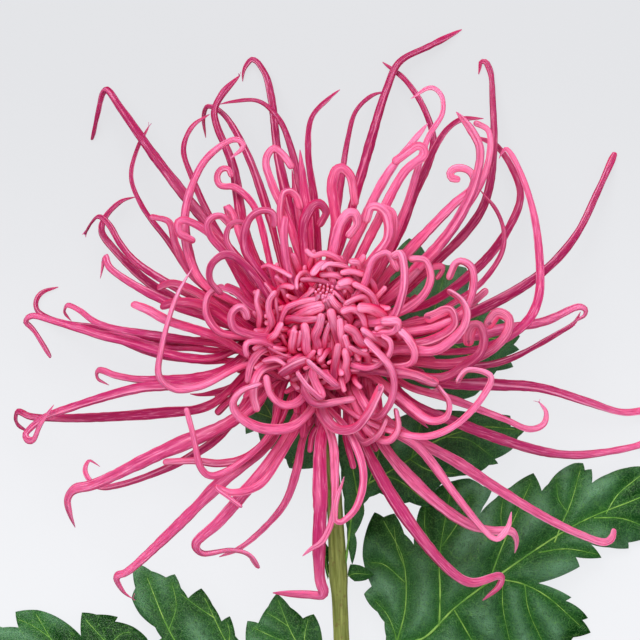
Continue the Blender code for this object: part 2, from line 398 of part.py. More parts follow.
def button_florets():
    """The short blunt florets of the middle, on a golden-angle spiral, shorter towards the eye."""
    florets = []
    for index in range(BUTTON_COUNT):
        share = math.sqrt((index + 0.6) / BUTTON_COUNT)
        polar = math.radians(BUTTON_SPREAD) * share
        azimuth = index * GOLDEN_ANGLE
        length = BUTTON_SHORT + (BUTTON_LONG - BUTTON_SHORT) * math.sqrt(1.0 - share)
        foot = on_head(polar, azimuth) * (HEAD_RADIUS - FLORET_INSET)
        middle = on_head(polar * BUTTON_BULGE, azimuth) * (HEAD_RADIUS + length * 0.6)
        tip = on_head(polar * BUTTON_LEAN_IN, azimuth + BUTTON_TWIST) * (HEAD_RADIUS + length)
        radius = BUTTON_EYE_RADIUS + (BUTTON_RADIUS - BUTTON_EYE_RADIUS) * share
        florets.append((radius, [HEAD_CENTRE + place for place in (foot, middle, tip)]))
    return florets


def seat_in_rows(florets):
    """The direction at which each floret leaves the head, in even rows from the back to the front."""
    angles = [head_angles(points[0]) for _, points in florets]
    order = sorted(range(len(florets)), key=lambda index: -angles[index][0])
    seats = [None] * len(florets)
    start = 0
    for row_angle in ROW_ANGLES:
        polar = math.radians(row_angle)
        room = int(2 * math.pi * HEAD_RADIUS * math.sin(polar) / ROW_PITCH)
        row = sorted(order[start:start + room], key=lambda index: angles[index][1])
        start += room
        if not row:
            break
        turn = 2 * math.pi / len(row)
        offsets = [angles[index][1] - place * turn for place, index in enumerate(row)]
        first = math.atan2(sum(map(math.sin, offsets)), sum(map(math.cos, offsets)))
        for place, index in enumerate(row):
            seats[index] = on_head(polar, first + place * turn)
    return seats


def leaf_height(heights):
    """A function of x and y: the thin-plate surface through a leaf's height points."""
    knots = np.array(heights, dtype=float)
    size = len(knots)

    def kernel(distance):
        return np.where(distance > 0, distance ** 2 * np.log(np.maximum(distance, 1e-9)), 0.0)

    spans = np.linalg.norm(knots[:, None, :2] - knots[None, :, :2], axis=2)
    plane = np.column_stack((np.ones(size), knots[:, :2]))
    system = np.block([[kernel(spans), plane], [plane.T, np.zeros((3, 3))]])
    weights = np.linalg.solve(system, np.concatenate((knots[:, 2], np.zeros(3))))

    def height(x, y):
        distance = np.hypot(knots[:, 0] - x, knots[:, 1] - y)
        return float(kernel(distance) @ weights[:size] + weights[size:] @ (1.0, x, y))

    return height


def inside(outline, x, y):
    """Whether a point of the drawing plane is inside an outline."""
    result = False
    for (x1, y1), (x2, y2) in zip(outline, outline[1:] + outline[:1]):
        if (y1 > y) != (y2 > y) and x < x1 + (x2 - x1) * (y - y1) / (y2 - y1):
            result = not result
    return result


def grid_inside(outline, pitch, margin):
    """A staggered grid of points inside an outline, at least a margin from its corners."""
    corners = np.array(outline)
    low, high = corners.min(axis=0), corners.max(axis=0)
    found = []
    for row, y in enumerate(np.arange(low[1] + pitch / 2, high[1], pitch * 0.866)):
        for x in np.arange(low[0] + pitch * (0.25 + 0.5 * (row % 2)), high[0], pitch):
            if inside(outline, x, y) and np.hypot(corners[:, 0] - x, corners[:, 1] - y).min() > margin:
                found.append((x, y))
    return found


def leaf_obstacles():
    """Points on every blade, which the florets keep away from."""
    found = []
    for outline, heights in LEAVES.values():
        height = leaf_height(heights)
        found += [(x, y, height(x, y)) for x, y in grid_inside(outline, LEAF_PROBE, 0.0)]
    return found


def settled_routes(florets, obstacles):
    """Smooth routes for all florets, moved apart until each clears the others and what is beneath."""
    routes = [smooth_route(points, SAMPLE_STEP) for _, points in florets]
    radii = [floret_radius(np.linspace(0, 1, len(route)), widest)
             for route, (widest, _) in zip(routes, florets)]
    counts = [len(route) for route in routes]
    starts = np.cumsum([0] + counts)
    fixed = np.array([point for point, _ in obstacles])
    places = np.vstack(routes + [fixed])
    home = places.copy()
    thick = np.concatenate(radii + [np.array([radius for _, radius in obstacles])])
    owner = np.concatenate([np.full(count, index) for index, count in enumerate(counts)]
                           + [np.full(len(fixed), -1)])
    free = np.concatenate([np.clip((np.arange(count) * SAMPLE_STEP - HELD_LENGTH) / LOOSENING_LENGTH, 0, 1)
                           for count in counts] + [np.zeros(len(fixed))])
    for step in range(SETTLE_STEPS):
        if step % STEPS_PER_SEARCH == 0:
            one, two = close_pairs(places, owner, PAIR_REACH)
        apart = places[two] - places[one]
        distance = np.linalg.norm(apart, axis=1)
        short = thick[one] + thick[two] + FLORET_GAP - distance
        hit = short > 0
        push = apart[hit] * (SIDEWAYS, SIDEWAYS, 1.0)
        push += np.where(push[:, 2:] < 0, -1.0, 1.0) * (0.0, 0.0, LIFT)
        push *= (short[hit] / np.linalg.norm(push, axis=1))[:, None] * 0.5
        move = np.zeros_like(places)
        np.add.at(move, one[hit], -push)
        np.add.at(move, two[hit], push)
        longest = np.linalg.norm(move, axis=1)
        move *= (np.minimum(longest, LONGEST_MOVE) / np.maximum(longest, 1e-9))[:, None]
        move += (home - places) * (SPRING if step < SETTLE_STEPS * SPRING_SHARE else 0.0)
        for first, last in zip(starts, starts[1:]):
            part = move[first:last]
            for _ in range(3):
                spread = np.vstack((part[:1], part, part[-1:]))
                part = (spread[:-2] + 2 * spread[1:-1] + spread[2:]) / 4
            move[first:last] = part
        places += move * free[:, None]
        places[:starts[-1], 2] = np.maximum(places[:starts[-1], 2], thick[:starts[-1]])
    return [places[first:last] for first, last in zip(starts, starts[1:])], radii


def close_pairs(places, owner, reach):
    """Pairs of samples closer than a reach, leaving out near neighbours along one floret."""
    tree = kdtree.KDTree(len(places))
    for index, place in enumerate(places):
        tree.insert(place, index)
    tree.balance()
    pairs = []
    for index, place in enumerate(places):
        if owner[index] < 0:
            continue
        for _, other, _ in tree.find_range(place, reach):
            same = owner[other] == owner[index]
            if (other > index or owner[other] < 0) and not (same and other - index <= SELF_SKIP):
                pairs.append((index, other))
    found = np.array(pairs)
    return found[:, 0], found[:, 1]


def stations(route, turn, reach):
    """The few points of a route that its shape needs: one for each share of turning or of length."""
    kept = [0]
    heading = route[1] - route[0]
    heading /= np.linalg.norm(heading)
    travelled = 0.0
    for index in range(1, len(route) - 1):
        onward = route[index + 1] - route[index]
        travelled += np.linalg.norm(onward)
        onward = onward / np.linalg.norm(onward)
        if math.acos(np.clip(heading @ onward, -1, 1)) > turn or travelled > reach:
            kept.append(index)
            heading = onward
            travelled = 0.0
    kept.append(len(route) - 1)
    return kept


def to_part(point):
    """A point of the drawing plane's frame in metres, in the part's frame."""
    return Vector((point[0] - PART_ORIGIN[0], point[1] - PART_ORIGIN[1], point[2])) * MM


def new_material(name):
    colour, roughness = TISSUES[name]
    material = bpy.data.materials.new(name)
    material.use_nodes = True
    shader = material.node_tree.nodes["Principled BSDF"]
    shader.inputs["Base Color"].default_value = colour
    shader.inputs["Roughness"].default_value = roughness
    return material


def add_object(name, data, collection, material):
    piece = bpy.data.objects.new(name, data)
    data.materials.append(material)
    collection.objects.link(piece)
    return piece


def tube_curve(name, tubes, sides):
    """A curve with a bevel and closed ends, with one spline for each pair of points and radii."""
    curve = bpy.data.curves.new(name, "CURVE")
    curve.dimensions = "3D"
    curve.bevel_depth = MM
    curve.bevel_resolution = sides
    curve.use_fill_caps = True
    curve.render_resolution_u = 0
    for points, radii in tubes:
        spline = curve.splines.new("POLY")
        spline.points.add(len(points) - 1)
        for knot, place, radius in zip(spline.points, points, radii):
            knot.co = (*to_part(place), 1.0)
            knot.radius = radius
    return curve


def mesh_of_curve(curve, collection):
    """The curve's surface as a mesh with its end caps welded on."""
    holder = bpy.data.objects.new(curve.name, curve)
    collection.objects.link(holder)
    bpy.context.view_layer.update()
    evaluated = holder.evaluated_get(bpy.context.evaluated_depsgraph_get())
    mesh = bpy.data.meshes.new_from_object(evaluated)
    bpy.data.objects.remove(holder)
    cage = bmesh.new()
    cage.from_mesh(mesh)
    bmesh.ops.remove_doubles(cage, verts=cage.verts, dist=1e-6)
    bmesh.ops.recalc_face_normals(cage, faces=cage.faces)
    cage.to_mesh(mesh)
    cage.free()
    return mesh


def make_stem(collection, material):
    table = np.array(STEM_ROUTE)
    route = smooth_route(table, STEM_STEP)
    curve = tube_curve("stem", [(route[:, :3], route[:, 3])], STEM_SIDES)
    add_object("stem", curve, collection, material)
    return [(place[:3], place[3]) for place in smooth_route(table, STEM_PROBE)]


def make_cup(collection, material):
    """The involucre: a bowl turned about the head's axis, with its opening towards the florets."""
    inner = HEAD_RADIUS + CLEARANCE
    arc = np.radians(np.linspace(CUP_RIM_ANGLE, 180, CUP_STEPS))
    outside = [((inner + CUP_WALL) * math.sin(a), (inner + CUP_WALL) * math.cos(a)) for a in arc[:-1]]
    outside = [(max(x, CUP_FOOT_RADIUS), z) for x, z in outside] + [(0.0, -(inner + CUP_WALL))]
    hollow = [(inner * math.sin(a), inner * math.cos(a)) for a in arc[::-1]]
    hollow[0] = (0.0, -inner)
    mesh = bpy.data.meshes.new("involucre")
    cage = bmesh.new()
    knots = [cage.verts.new((x * MM, 0.0, z * MM)) for x, z in outside + hollow]
    for one, two in zip(knots, knots[1:] + knots[:1]):
        if one.co.x > 0 or two.co.x > 0:
            cage.edges.new((one, two))
    cage.to_mesh(mesh)
    cage.free()
    cup = add_object("involucre", mesh, collection, material)
    cup.matrix_world = Matrix.LocRotScale(to_part(HEAD_CENTRE), Matrix.Rotation(-HEAD_LEAN, 3, "X"), None)
    turned = cup.modifiers.new("turned", "SCREW")
    turned.steps = turned.render_steps = CUP_SEGMENTS
    turned.use_merge_vertices = True
    turned.merge_threshold = 1e-5
    turned.use_normal_calculate = True
    return cup


def make_head(tubes, collection, cutters, material):
    """The receptacle with the hooked and short florets that grow from its front, as one solid."""
    mesh = bpy.data.meshes.new("flower_head")
    ball = bmesh.new()
    bmesh.ops.create_icosphere(ball, subdivisions=HEAD_ROUNDNESS, radius=HEAD_RADIUS * MM)
    ball.to_mesh(mesh)
    ball.free()
    head = add_object("flower_head", mesh, collection, material)
    head.location = to_part(HEAD_CENTRE)
    inner = mesh_of_curve(tube_curve("inner_florets", tubes, SHORT_SIDES), cutters)
    tool = add_object("inner_florets", inner, cutters, material)
    tool.hide_render = True
    tool.display_type = "WIRE"
    union = head.modifiers.new("inner florets", "BOOLEAN")
    union.operation = "UNION"
    union.solver = "EXACT"
    union.use_self = True
    union.object = tool
    return head


def make_leaf(name, outline, heights, collection, material):
    """A blade: its outline filled over a grid of points, lifted to its height and given thickness."""
    height = leaf_height(heights)
    corners = [Vector(corner) for corner in outline]
    edges = [(index, (index + 1) % len(corners)) for index in range(len(corners))]
    grid = [Vector(point) for point in grid_inside(outline, LEAF_GRID, LEAF_MARGIN)]
    filled = geometry.delaunay_2d_cdt(corners + grid, edges, [], 1, 1e-4)
    mesh = bpy.data.meshes.new(name)
    mesh.from_pydata([to_part((x, y, height(x, y))) for x, y in filled[0]], [], filled[2])
    leaf = add_object(name, mesh, collection, material)
    blade = leaf.modifiers.new("blade", "SOLIDIFY")
    blade.thickness = LEAF_THICKNESS * MM
    blade.offset = 0.0
    return leaf


def routed_florets():
    """Every floret as radius and points, from its foot on the head: outer, hooked, then short ones."""
    named = [(f"floret_{side}_{place:02d}", floret)
             for side, group in FLORETS.items() for place, floret in enumerate(group, 1)]
    spread = [floret for _, floret in named] + list(HOOKS)
    seats = seat_in_rows(spread)
    complete = []
    for index, ((radius, points), seat) in enumerate(zip(spread, seats)):
        inset = FLORET_INSET if index >= len(named) else -CLEARANCE
        foot = HEAD_CENTRE + seat * (HEAD_RADIUS - inset)
        leaving = HEAD_CENTRE + seat * (HEAD_RADIUS + FLORET_EXIT)
        complete.append((radius, (foot, leaving, *points)))
    return [name for name, _ in named], complete + button_florets()


def main():
    for item in list(bpy.data.objects):
        bpy.data.objects.remove(item)
    collection = bpy.data.collections.new(NAME)
    cutters = bpy.data.collections.new("cutters")
    for group in (collection, cutters):
        bpy.context.scene.collection.children.link(group)
    petal, green, stalk = (new_material(name) for name in ("petal", "leaf", "stem"))

    obstacles = make_stem(collection, stalk)
    obstacles += [(point, LEAF_THICKNESS) for point in leaf_obstacles()]
    obstacles.append((HEAD_CENTRE - head_frame()[0] * 1.2, HEAD_RADIUS))
    make_cup(collection, green)
    for name, (outline, heights) in LEAVES.items():
        make_leaf(name, outline, heights, collection, green)

    names, florets = routed_florets()
    routes, radii = settled_routes(florets, obstacles)
    tubes = []
    for route, thickness in zip(routes, radii):
        kept = stations(route, TURN_PER_STATION, STATION_REACH)
        tubes.append((route[kept], thickness[kept]))
    for name, tube in zip(names, tubes):
        add_object(name, tube_curve(name, [tube], LONG_SIDES), collection, petal)
    make_head(tubes[len(names):], collection, cutters, petal)


main()
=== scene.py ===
"""A cut spider chrysanthemum lying on a pale table, seen from straight above its bloom.

The flower is drawn in millimetres on the same level plane as its solids, with the same routes, so that each
visible piece lies where its solid is. The visible pieces add what the solids leave out: grooved and hollow
florets, veined and puckered leaves, a ridged stem, bracts, and the colours and finish of each tissue.
"""
import math
from itertools import product

import bpy
import numpy as np
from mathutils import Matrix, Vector, geometry, kdtree


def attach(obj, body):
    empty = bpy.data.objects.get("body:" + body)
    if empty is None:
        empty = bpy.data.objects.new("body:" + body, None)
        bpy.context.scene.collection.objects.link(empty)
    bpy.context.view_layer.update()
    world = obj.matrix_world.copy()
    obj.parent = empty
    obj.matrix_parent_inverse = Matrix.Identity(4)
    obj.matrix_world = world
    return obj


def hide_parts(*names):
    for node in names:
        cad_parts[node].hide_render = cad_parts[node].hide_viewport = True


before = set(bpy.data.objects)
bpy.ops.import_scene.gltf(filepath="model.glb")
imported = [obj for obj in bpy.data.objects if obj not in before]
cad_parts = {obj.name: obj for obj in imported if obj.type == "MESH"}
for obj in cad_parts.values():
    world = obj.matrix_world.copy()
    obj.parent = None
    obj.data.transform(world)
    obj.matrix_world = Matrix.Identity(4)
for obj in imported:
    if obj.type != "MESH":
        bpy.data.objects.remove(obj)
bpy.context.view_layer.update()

MM = 0.001
PART_ORIGIN = (2.5, -54.8)

# The head and the rows in which its florets stand, as in the solids
HEAD_CENTRE = np.array((1.0, -8.0, 46.0))
HEAD_LEAN = math.radians(32)
HEAD_RADIUS = 9.0
ROW_ANGLES = (100, 89, 78, 67, 57, 48)
ROW_PITCH = 2.0
FLORET_EXIT = 3.5
FLORET_INSET = 1.2
CLEARANCE = 0.35

# The button of short florets, as in the solids
BUTTON_COUNT = 44
BUTTON_SPREAD = 50
BUTTON_LONG = 15.0
BUTTON_SHORT = 5.0
BUTTON_RADIUS = 0.95
BUTTON_EYE_RADIUS = 0.52
BUTTON_LEAN_IN = 0.55
BUTTON_TWIST = 0.25
BUTTON_BULGE = 1.08
GOLDEN_ANGLE = math.radians(137.508)

# A floret's radius along it, as in the solids
FOOT_RADIUS = 0.52
WIDEST_AT = 0.45
TIP_RADIUS = 0.34
TIP_LENGTH = 0.22

# How the florets are moved apart, as in the solids
SAMPLE_STEP = 1.6
SUBDIVISIONS = 24
FLORET_GAP = 0.55
SETTLE_STEPS = 140
STEPS_PER_SEARCH = 6
SPRING_SHARE = 0.5
SPRING = 0.015
SIDEWAYS = 0.45
LIFT = 0.15
LONGEST_MOVE = 0.6
HELD_LENGTH = 1.0
LOOSENING_LENGTH = 6.0
PAIR_REACH = 4.6
SELF_SKIP = 6
STEM_PROBE = 2.0
LEAF_THICKNESS = 0.6
LEAF_PROBE = 3.0
HEAD_BALL_DROP = 1.2

# The camera: what its frame holds at the bloom's height, and how far up it is
FRAME_CENTRE = (1.0, -1.0)
FRAME_WIDTH = 160.0
FRAME_HEIGHT = 42.0
CAMERA_HEIGHT = 5000.0
CAMERA_CLIP = (0.1, 50.0)

# How finely the visible florets are drawn, and the shape of their grooved section
FLORET_STEP = 0.7
FLORET_SIDES = 24
MIDDLE_SIDES = 16
CAP_ANGLES = np.radians((35, 62, 82))
CAP_STRETCH = 0.3
FLOOR_GAP = 0.02
RIDGE_COUNTS = (3, 5, 7, 8)
RIDGE_WEIGHTS = (0.3, 0.7)
RIDGE_DEPTH = 0.075
MIDDLE_RIDGES = 0.6
TWIST = 0.03
TWIST_WOBBLE = 0.12
TWIST_SPACING = 9.0
FLORET_WOBBLES = ((5.0, 0.07), (1.4, 0.049))
STREAK_LENGTH = 0.06
STREAK_SHIFT = 3.7
HOLLOW_LENGTH = 9.0
HOLLOW_DEPTH = 0.5
HOLLOW_DENT = 1.6
HOLLOW_POWER = 1.3
HOLLOW_SPREAD = 0.25
FLATNESSES = (0.6, 0.85)

# The widths of the visible florets, and the shapes of their ends
OUTER_WIDTH = 1.14
HOOK_WIDTH = 1.14
BUTTON_WIDTH = 1.3
OUTER_THINNING = 0.42
THINNING_SHARES = (0.45, 0.9)
POINTED_LENGTH = 6.0
POINTED_RADIUS = 0.14
BLUNT_LENGTH = 1.6
BLUNT_RADIUS = 0.75
INNER_FOOT = 0.62
INNER_TIP = 0.14
FRAYED_LENGTHS = (0.7, 1.5)
FRAYED_SPREAD = 0.45
FRAYED_COUNTS = (2, 4)
FRAYED_POINTS = 6
FRAYED_OVERLAP = 0.4
FRAYED_CURL = 0.4
FRAYED_RADIUS = 0.5
FRAYED_SHARE = 0.8
FRAYED_TIP = 0.07
FRAYED_STEP = 0.3
FRAYED_SIDES = 8

# How pale the inner florets are, more so towards the front as painted light, and the tone from which a
# hook's end is open
HOOK_TONE = 0.42
HOOK_TONE_SPREAD = 0.18
FRONT_LIGHT_GAIN = 0.34
FRONT_TURN = math.radians(-40)
OPEN_HOOK_TONE = 0.6
BUTTON_TONE = 0.85

# How dark the shades of light and of half dark outer florets are, from 0 to 1; half dark is partly painted
# shade
LIGHT_SHADE = 0.6
HALF_DARK_SHADE = 0.5

# Painted shade: how crimson florets are deep in the head, and on their flanks that face away from above
OUTER_PAINTED_SHADE = 0.25
OUTER_FLANK_SHADE = 0.22
HOOK_FLANK_SHADE = 0.55
BETWEEN_FLANK_SHADE = 0.055
MIDDLE_FLANK_SHADE = 1.0
FLANK_SHADE_START = 0.7
FLANK_SHADE_WIDTH = 0.8

# The dome the middle florets end at, and the one under which they count as deep in the head for painted
# shade
DOME_TOP = (1.5, -1.0, 71.0)
DOME_SLOPE = 0.25
CANOPY_SLOPE = 0.35
CANOPY_SKIN = 1.2
CANOPY_DEPTH = 4.5
CANOPY_REACH = 42.0
CANOPY_EDGE = 16.0

# The seeds of the random draws
HOOK_SEED = 31
PLACING_SEED = 11
FILL_SEED = 23
STEM_SEED = 5
BETWEEN_SEED = 300
MIDDLE_SEED = 500
FRAYED_SEED = 900

# Short florets in the middle: radius, how pale, how far above or below the dome, then points on the drawing
# plane from the root to the blunt tip
CENTRE_ROOT_DROP = 7.0
CENTRE_WIDTH = 1.12
CENTRE_GAP = -0.25
CENTRE_SHARE = 0.12
CENTRE = (
    (1.2, 1, 0.8, ((6.2, -7.8), (5.4, -4.8), (4.5, -2.2), (4, -0.5), (3.7, 0.8))),
    (0.65, 0.7, -0.6, ((1, -8.5), (2.2, -5.2), (3.3, -2))),
    (0.9, 0.9, 0.4, ((7.2, -9), (6.9, -7.4), (6.3, -4.8), (6, -1.3))),
    (0.8, 0.8, 0.6, ((8.5, -10), (7.9, -7.8), (7.2, -5.3))),
    (1, 0.8, 0, ((-8, -1.5), (-6.2, -0.5), (-3.5, -0.6), (-0.8, -0.8), (1.4, -1))),
    (1.15, 0.85, 0.6, ((-1, -8), (-0.5, -5.5), (0.8, -2.2), (1.2, -0.2))),
    (1.1, 0.75, -0.2, ((-0.5, -10.2), (-1.8, -7.2), (-2.5, -4.2), (-2.8, -2.6))),
    (0.95, 0.8, -0.2, ((-5.5, -10), (-6, -6.8), (-5.5, -4))),
    (0.7, 0.6, -0.8, ((-4.5, -9), (-4.2, -6.5), (-3.8, -4.2))),
    (0.8, 0.75, -0.2, ((-10, -5), (-9, -2.2), (-8, 0), (-7.2, 2), (-5.5, 3), (-2.8, 3.8), (0, 4.2))),
    (0.65, 0.75, 0, ((-7, 1.5), (-4.5, 3.4), (-2.6, 5), (-0.8, 6.4))),
    (0.65, 0.7, 0.2, ((-8, 0), (-5.8, 1.8), (-3.2, 2.2), (-0.8, 2.8), (1, 3.2))),
    (1.25, 0.85, 0.8, ((-5, -1.2), (-2.8, 0.5), (-1, 1.5), (1, 2.2))),
    (0.9, 0.85, 0.6, ((-3, 2.5), (-0.5, 3.5), (0.5, 4.8))),
    (0.55, 1, 0.8, ((3.2, 0), (2.8, 2), (2, 3.8), (1.8, 5))),
    (1, 0.9, 0.6, ((8, -0.5), (5.8, 1.8), (4.5, 3.2), (3.5, 4.8))),
    (0.8, 0.8, 0.3, ((5.5, 0.8), (3.6, 2.6), (2.8, 4))),
    (0.65, 0.7, 0.2, ((9, 1), (7, 3.2), (5.8, 4.8), (4.5, 6))),
    (0.9, 0.85, 0.6, ((12, -5.5), (12.5, -3), (12, -1), (10.8, 0.8), (9, 1.8), (6.8, 1.2))),
    (1.05, 0.85, 0.8, ((13.5, 0.5), (13.2, 3.6), (12, 4.7), (9.8, 4.2), (7.8, 3.2))),
    (1.3, 1, 2, ((16.5, -2), (15, 0.8), (13, 1.8), (11.2, 1.9))),
    (1, 0.7, 0.8, ((14, 0), (14, 3.2), (13.2, 5.5), (11.5, 7), (9.8, 7.8))),
    (0.95, 0.75, 1, ((14.5, 6), (12.5, 9.5), (10.5, 10.8), (8.5, 11.1), (6.8, 10.8))),
    (1.1, 1, 1.2, ((11, 5.5), (9.2, 8.1), (8, 8.8), (6.2, 8.2))),
    (0.8, 0.6, 0, ((10, 4), (8.5, 6.2), (7.2, 7.5), (5.5, 7.2))),
    (0.95, 0.9, 2.6, ((10, 8.5), (7.8, 11.8), (6, 12.8), (4.5, 12.9), (3, 13), (1.5, 12))),
    (1.05, 1, 3.2, ((4, 9), (2.5, 13), (0.8, 12.6), (-0.6, 10.8))),
    (0.9, 0.8, 2.4, ((9, 8), (7.5, 12), (6, 13.5), (4.2, 15), (2.2, 15.6), (0.5, 15.2), (-1, 15),
     (-2.2, 16))),
    (1, 0.8, 2, ((11, 9), (10.5, 12), (10.2, 13.4), (9, 13.5))),
    (0.8, 0.85, 0.6, ((-1, 7), (-2.4, 10.6), (-4, 10.2), (-4.8, 8.8), (-4.8, 7.2))),
    (0.8, 0.7, 0.4, ((-11, 4), (-8.8, 7), (-7.5, 7.5), (-6, 7.2))),
    (0.75, 0.7, 0.8, ((-15, 9), (-12.5, 12.5), (-10.2, 12), (-8.2, 11), (-6.5, 10))),
    (0.85, 0.6, 0.6, ((8, 1), (6.5, 4.8), (5, 6.8), (2.5, 8.2), (-0.2, 9), (-3.2, 9))),
    (0.8, 0.45, -0.2, ((9, 3), (7.5, 8), (5, 10), (1.5, 10.2))),
    (1.1, 0.8, 1.5, ((-11, -6), (-11, -2), (-11.2, -0.2), (-11.8, 2), (-11.5, 4), (-10.5, 5.5))),
    (0.6, 0.6, 0.2, ((-10, -4), (-9.5, 0), (-9.8, 2), (-10, 4.2))),
    (0.9, 0.7, 0.6, ((-11, -9), (-11, -6), (-9.8, -3.8), (-8.8, -2.2))),
    (0.55, 0.5, 0.8, ((-14, -5), (-12.5, -7), (-10.2, -8.8), (-7.5, -10))),
    (1, 0.7, 1.6, ((-13.5, -3), (-14, 0.5), (-14.8, 3.8), (-14.5, 5.8))),
    (0.95, 0.9, 0.8, ((4, -17), (4.5, -13.8), (4.8, -11.5), (5.2, -9.2), (5.5, -7.6))),
    (1.1, 0.75, 0, ((7, -15), (7.5, -12.5), (7.8, -11), (7.2, -9))),
    (1, 0.7, 0.4, ((15, -13), (12, -9.8), (10.2, -8.8), (8.8, -8))),
    (1.2, 0.75, 0.4, ((15, -8), (11, -4.8), (9.2, -3.8), (7.8, -3))),
    (1, 0.8, 0.8, ((18, -9), (15.2, -5.5), (13.5, -4.2), (12, -3.5))),
    (0.8, 0.8, 1, ((21, -5), (17, -3), (15.2, -3.2))),
)

# Two rows of short florets between neighbours: how long as a share of theirs, how near to the first of the
# two, how wide, and how far below them each row ends
BETWEEN_LENGTHS = (0.24, 0.36)
BETWEEN_WEIGHTS = (0.3, 0.7)
BETWEEN_RADIUS = 0.8
BETWEEN_DROPS = (1.0, 3.0)
BETWEEN_SKIP = 5
BETWEEN_GAP = 0.0
BETWEEN_SHARE = 0.7

# More outer florets, under and beside the others: radius, then points from the head to the tip
EXTRA = (
    (1.2, ((-5, -10, 40), (-7.3, -14.5, 37), (-9.3, -20, 34), (-11, -26.5, 31))),
    (1.2, ((2, -12, 38), (3.8, -17, 36), (5.2, -22.5, 34), (6.2, -28, 31))),
    (1.3, ((12, -12, 42), (17, -17.5, 39), (22, -22.5, 36), (28, -28, 32))),
    (1.1, ((8, -14, 40), (11, -19.5, 37), (14, -25, 34), (16.5, -31, 31))),
    (1.2, ((-18.3, -11.2, 42), (-27, -11, 38), (-35.6, -10.1, 33), (-42.1, -8.8, 28), (-48.6, -6.4, 24),
     (-54.7, -4.7, 20))),
    (1, ((-18.3, -9, 40), (-27, -8.5, 34), (-37.3, -6.8, 27), (-46, -5.2, 21), (-55, -3.6, 16))),
    (1.1, ((-10, -15, 42), (-17.7, -16.5, 38), (-22.7, -18.5, 35), (-29, -19.7, 33), (-31.5, -19.5, 32))),
    (1.3, ((-1, 14, 46), (-2, 25.3, 43), (-3.3, 34, 41), (-4, 41.5, 40))),
    (1.1, ((-2.5, 14, 44), (-3.6, 22, 41), (-4.8, 29, 39), (-6, 36.5, 38))),
)

# Blunt florets that stand up between the middle ones: where, how many, and how far below the dome
FILL_PLACE = (1.0, -1.5)
FILL_WIDTH = 18.0
FILL_COUNT = 125
FILL_DROPS = (-4.4, -2.0)
FILL_RADII = (0.75, 1.05)
FILL_TONES = (0.2, 0.8)
FILL_LEAN = 1.1
FILL_FOOT = 3.0

# The tiny closed florets of the eye: where it is, how wide, how many, and how it is domed
EYE_PLACE = (2.3, 5.9)
EYE_WIDTH = 2.4
EYE_COUNT = 18
EYE_FLORET_RADIUS = 0.5
EYE_RISE = 1.6
EYE_SLOPE = 0.35
EYE_FOOT = 6.0

# How pale the outer florets that reach to the front are, tone and painted light, from 0 as the others to 1
FRONT_TONES_AND_LIGHT = {
    "left_09": 0.9, "lower_03": 0.4, "lower_05": 0.7, "lower_06": 0.5, "lower_08": 0.6, "lower_09": 0.9,
    "lower_10": 0.5, "lower_02": 0.35, "right_03": 0.6, "right_04": 0.3, "top_04": 0.45, "top_05": 0.8,
    "top_14": 0.4, "top_15": 0.5, "top_16": 0.6,
}

# How much wider or slimmer some outer florets are, and which ones end bluntly, are dark or are frayed
WIDTHS = {
    "left_01": 1.25, "left_06": 0.85, "left_08": 0.9, "left_13": 1.4, "lower_01": 1.08, "lower_04": 1.06,
    "lower_06": 0.85, "lower_07": 1.08, "lower_08": 1.08, "right_02": 1.08, "right_05": 0.88,
    "right_06": 1.06, "top_01": 0.94, "top_02": 0.92, "top_05": 1.25, "top_08": 0.9, "top_10": 0.9,
    "top_15": 1.1, "top_16": 1.3,
}
BLUNT = ("left_01", "left_04", "left_07", "left_11", "lower_02", "lower_10", "right_06", "top_15")
# Dark and half dark florets, mostly at the top, are darker for their own colour and partly as painted shade
DARK_AND_SHADED = ("left_01", "left_02", "left_03", "left_04", "left_06", "left_11", "right_05", "right_06", "right_08",
        "right_09", "top_01", "top_02", "top_03", "top_06", "top_07", "top_08", "top_09", "top_10", "top_11",
        "top_12", "top_13")
HALF_DARK_AND_SHADED = ("left_05", "left_07", "left_08", "left_10", "left_12", "right_07", "top_16")
FRAYED = ("left_02", "left_04", "lower_01", "right_03", "right_04", "top_11")

# How finely leaves are drawn, and how much they pucker, wave and bow between their teeth
LEAF_STEP = 1.1
LEAF_RIM_STEP = 1.0
LEAF_RIM_CLEARANCE = 0.55
LEAF_BOW = 0.04
TOOTH_POINT = 0.55
LEAF_PUCKER = 2.8
PUCKER_REACH = 3.4
PUCKER_RIM = 3.0
PUCKER_SINK = 0.4
LEAF_WAVES = 0.55
WAVE_COUNT = 7
WAVE_SUM = 3.2
WAVE_LENGTHS = (9, 26)
WAVE_START = 1.2
WAVE_FADE = 12.0
WAVE_LEAST = 0.35
LEAF_THIN = 0.35

# The raised veins, and how far to their sides a blade is furrowed and lighter
VEIN_STEP = 1.2
VEIN_FINE_STEP = 0.8
VEIN_SIDES = 8
VEIN_WIDTH = 0.56
VEIN_HEIGHT = 0.62
VEIN_RISE = 0.12
VEIN_SEAT = 0.4
VEIN_TAPER = (0.5, 0.14)
VEIN_WOBBLES = ((2.0, 0.25),)
VEIN_GLOW = 1.1
FURROW_REACH = 0.6
FURROW_WIDENING = 0.5

# Painted sheen on whole blades, for the light that would catch those that face it
LEAF_SHEENS = {"leaf_upper_right": 0.4, "leaf_left": 0.35, "leaf_right": 0.2}

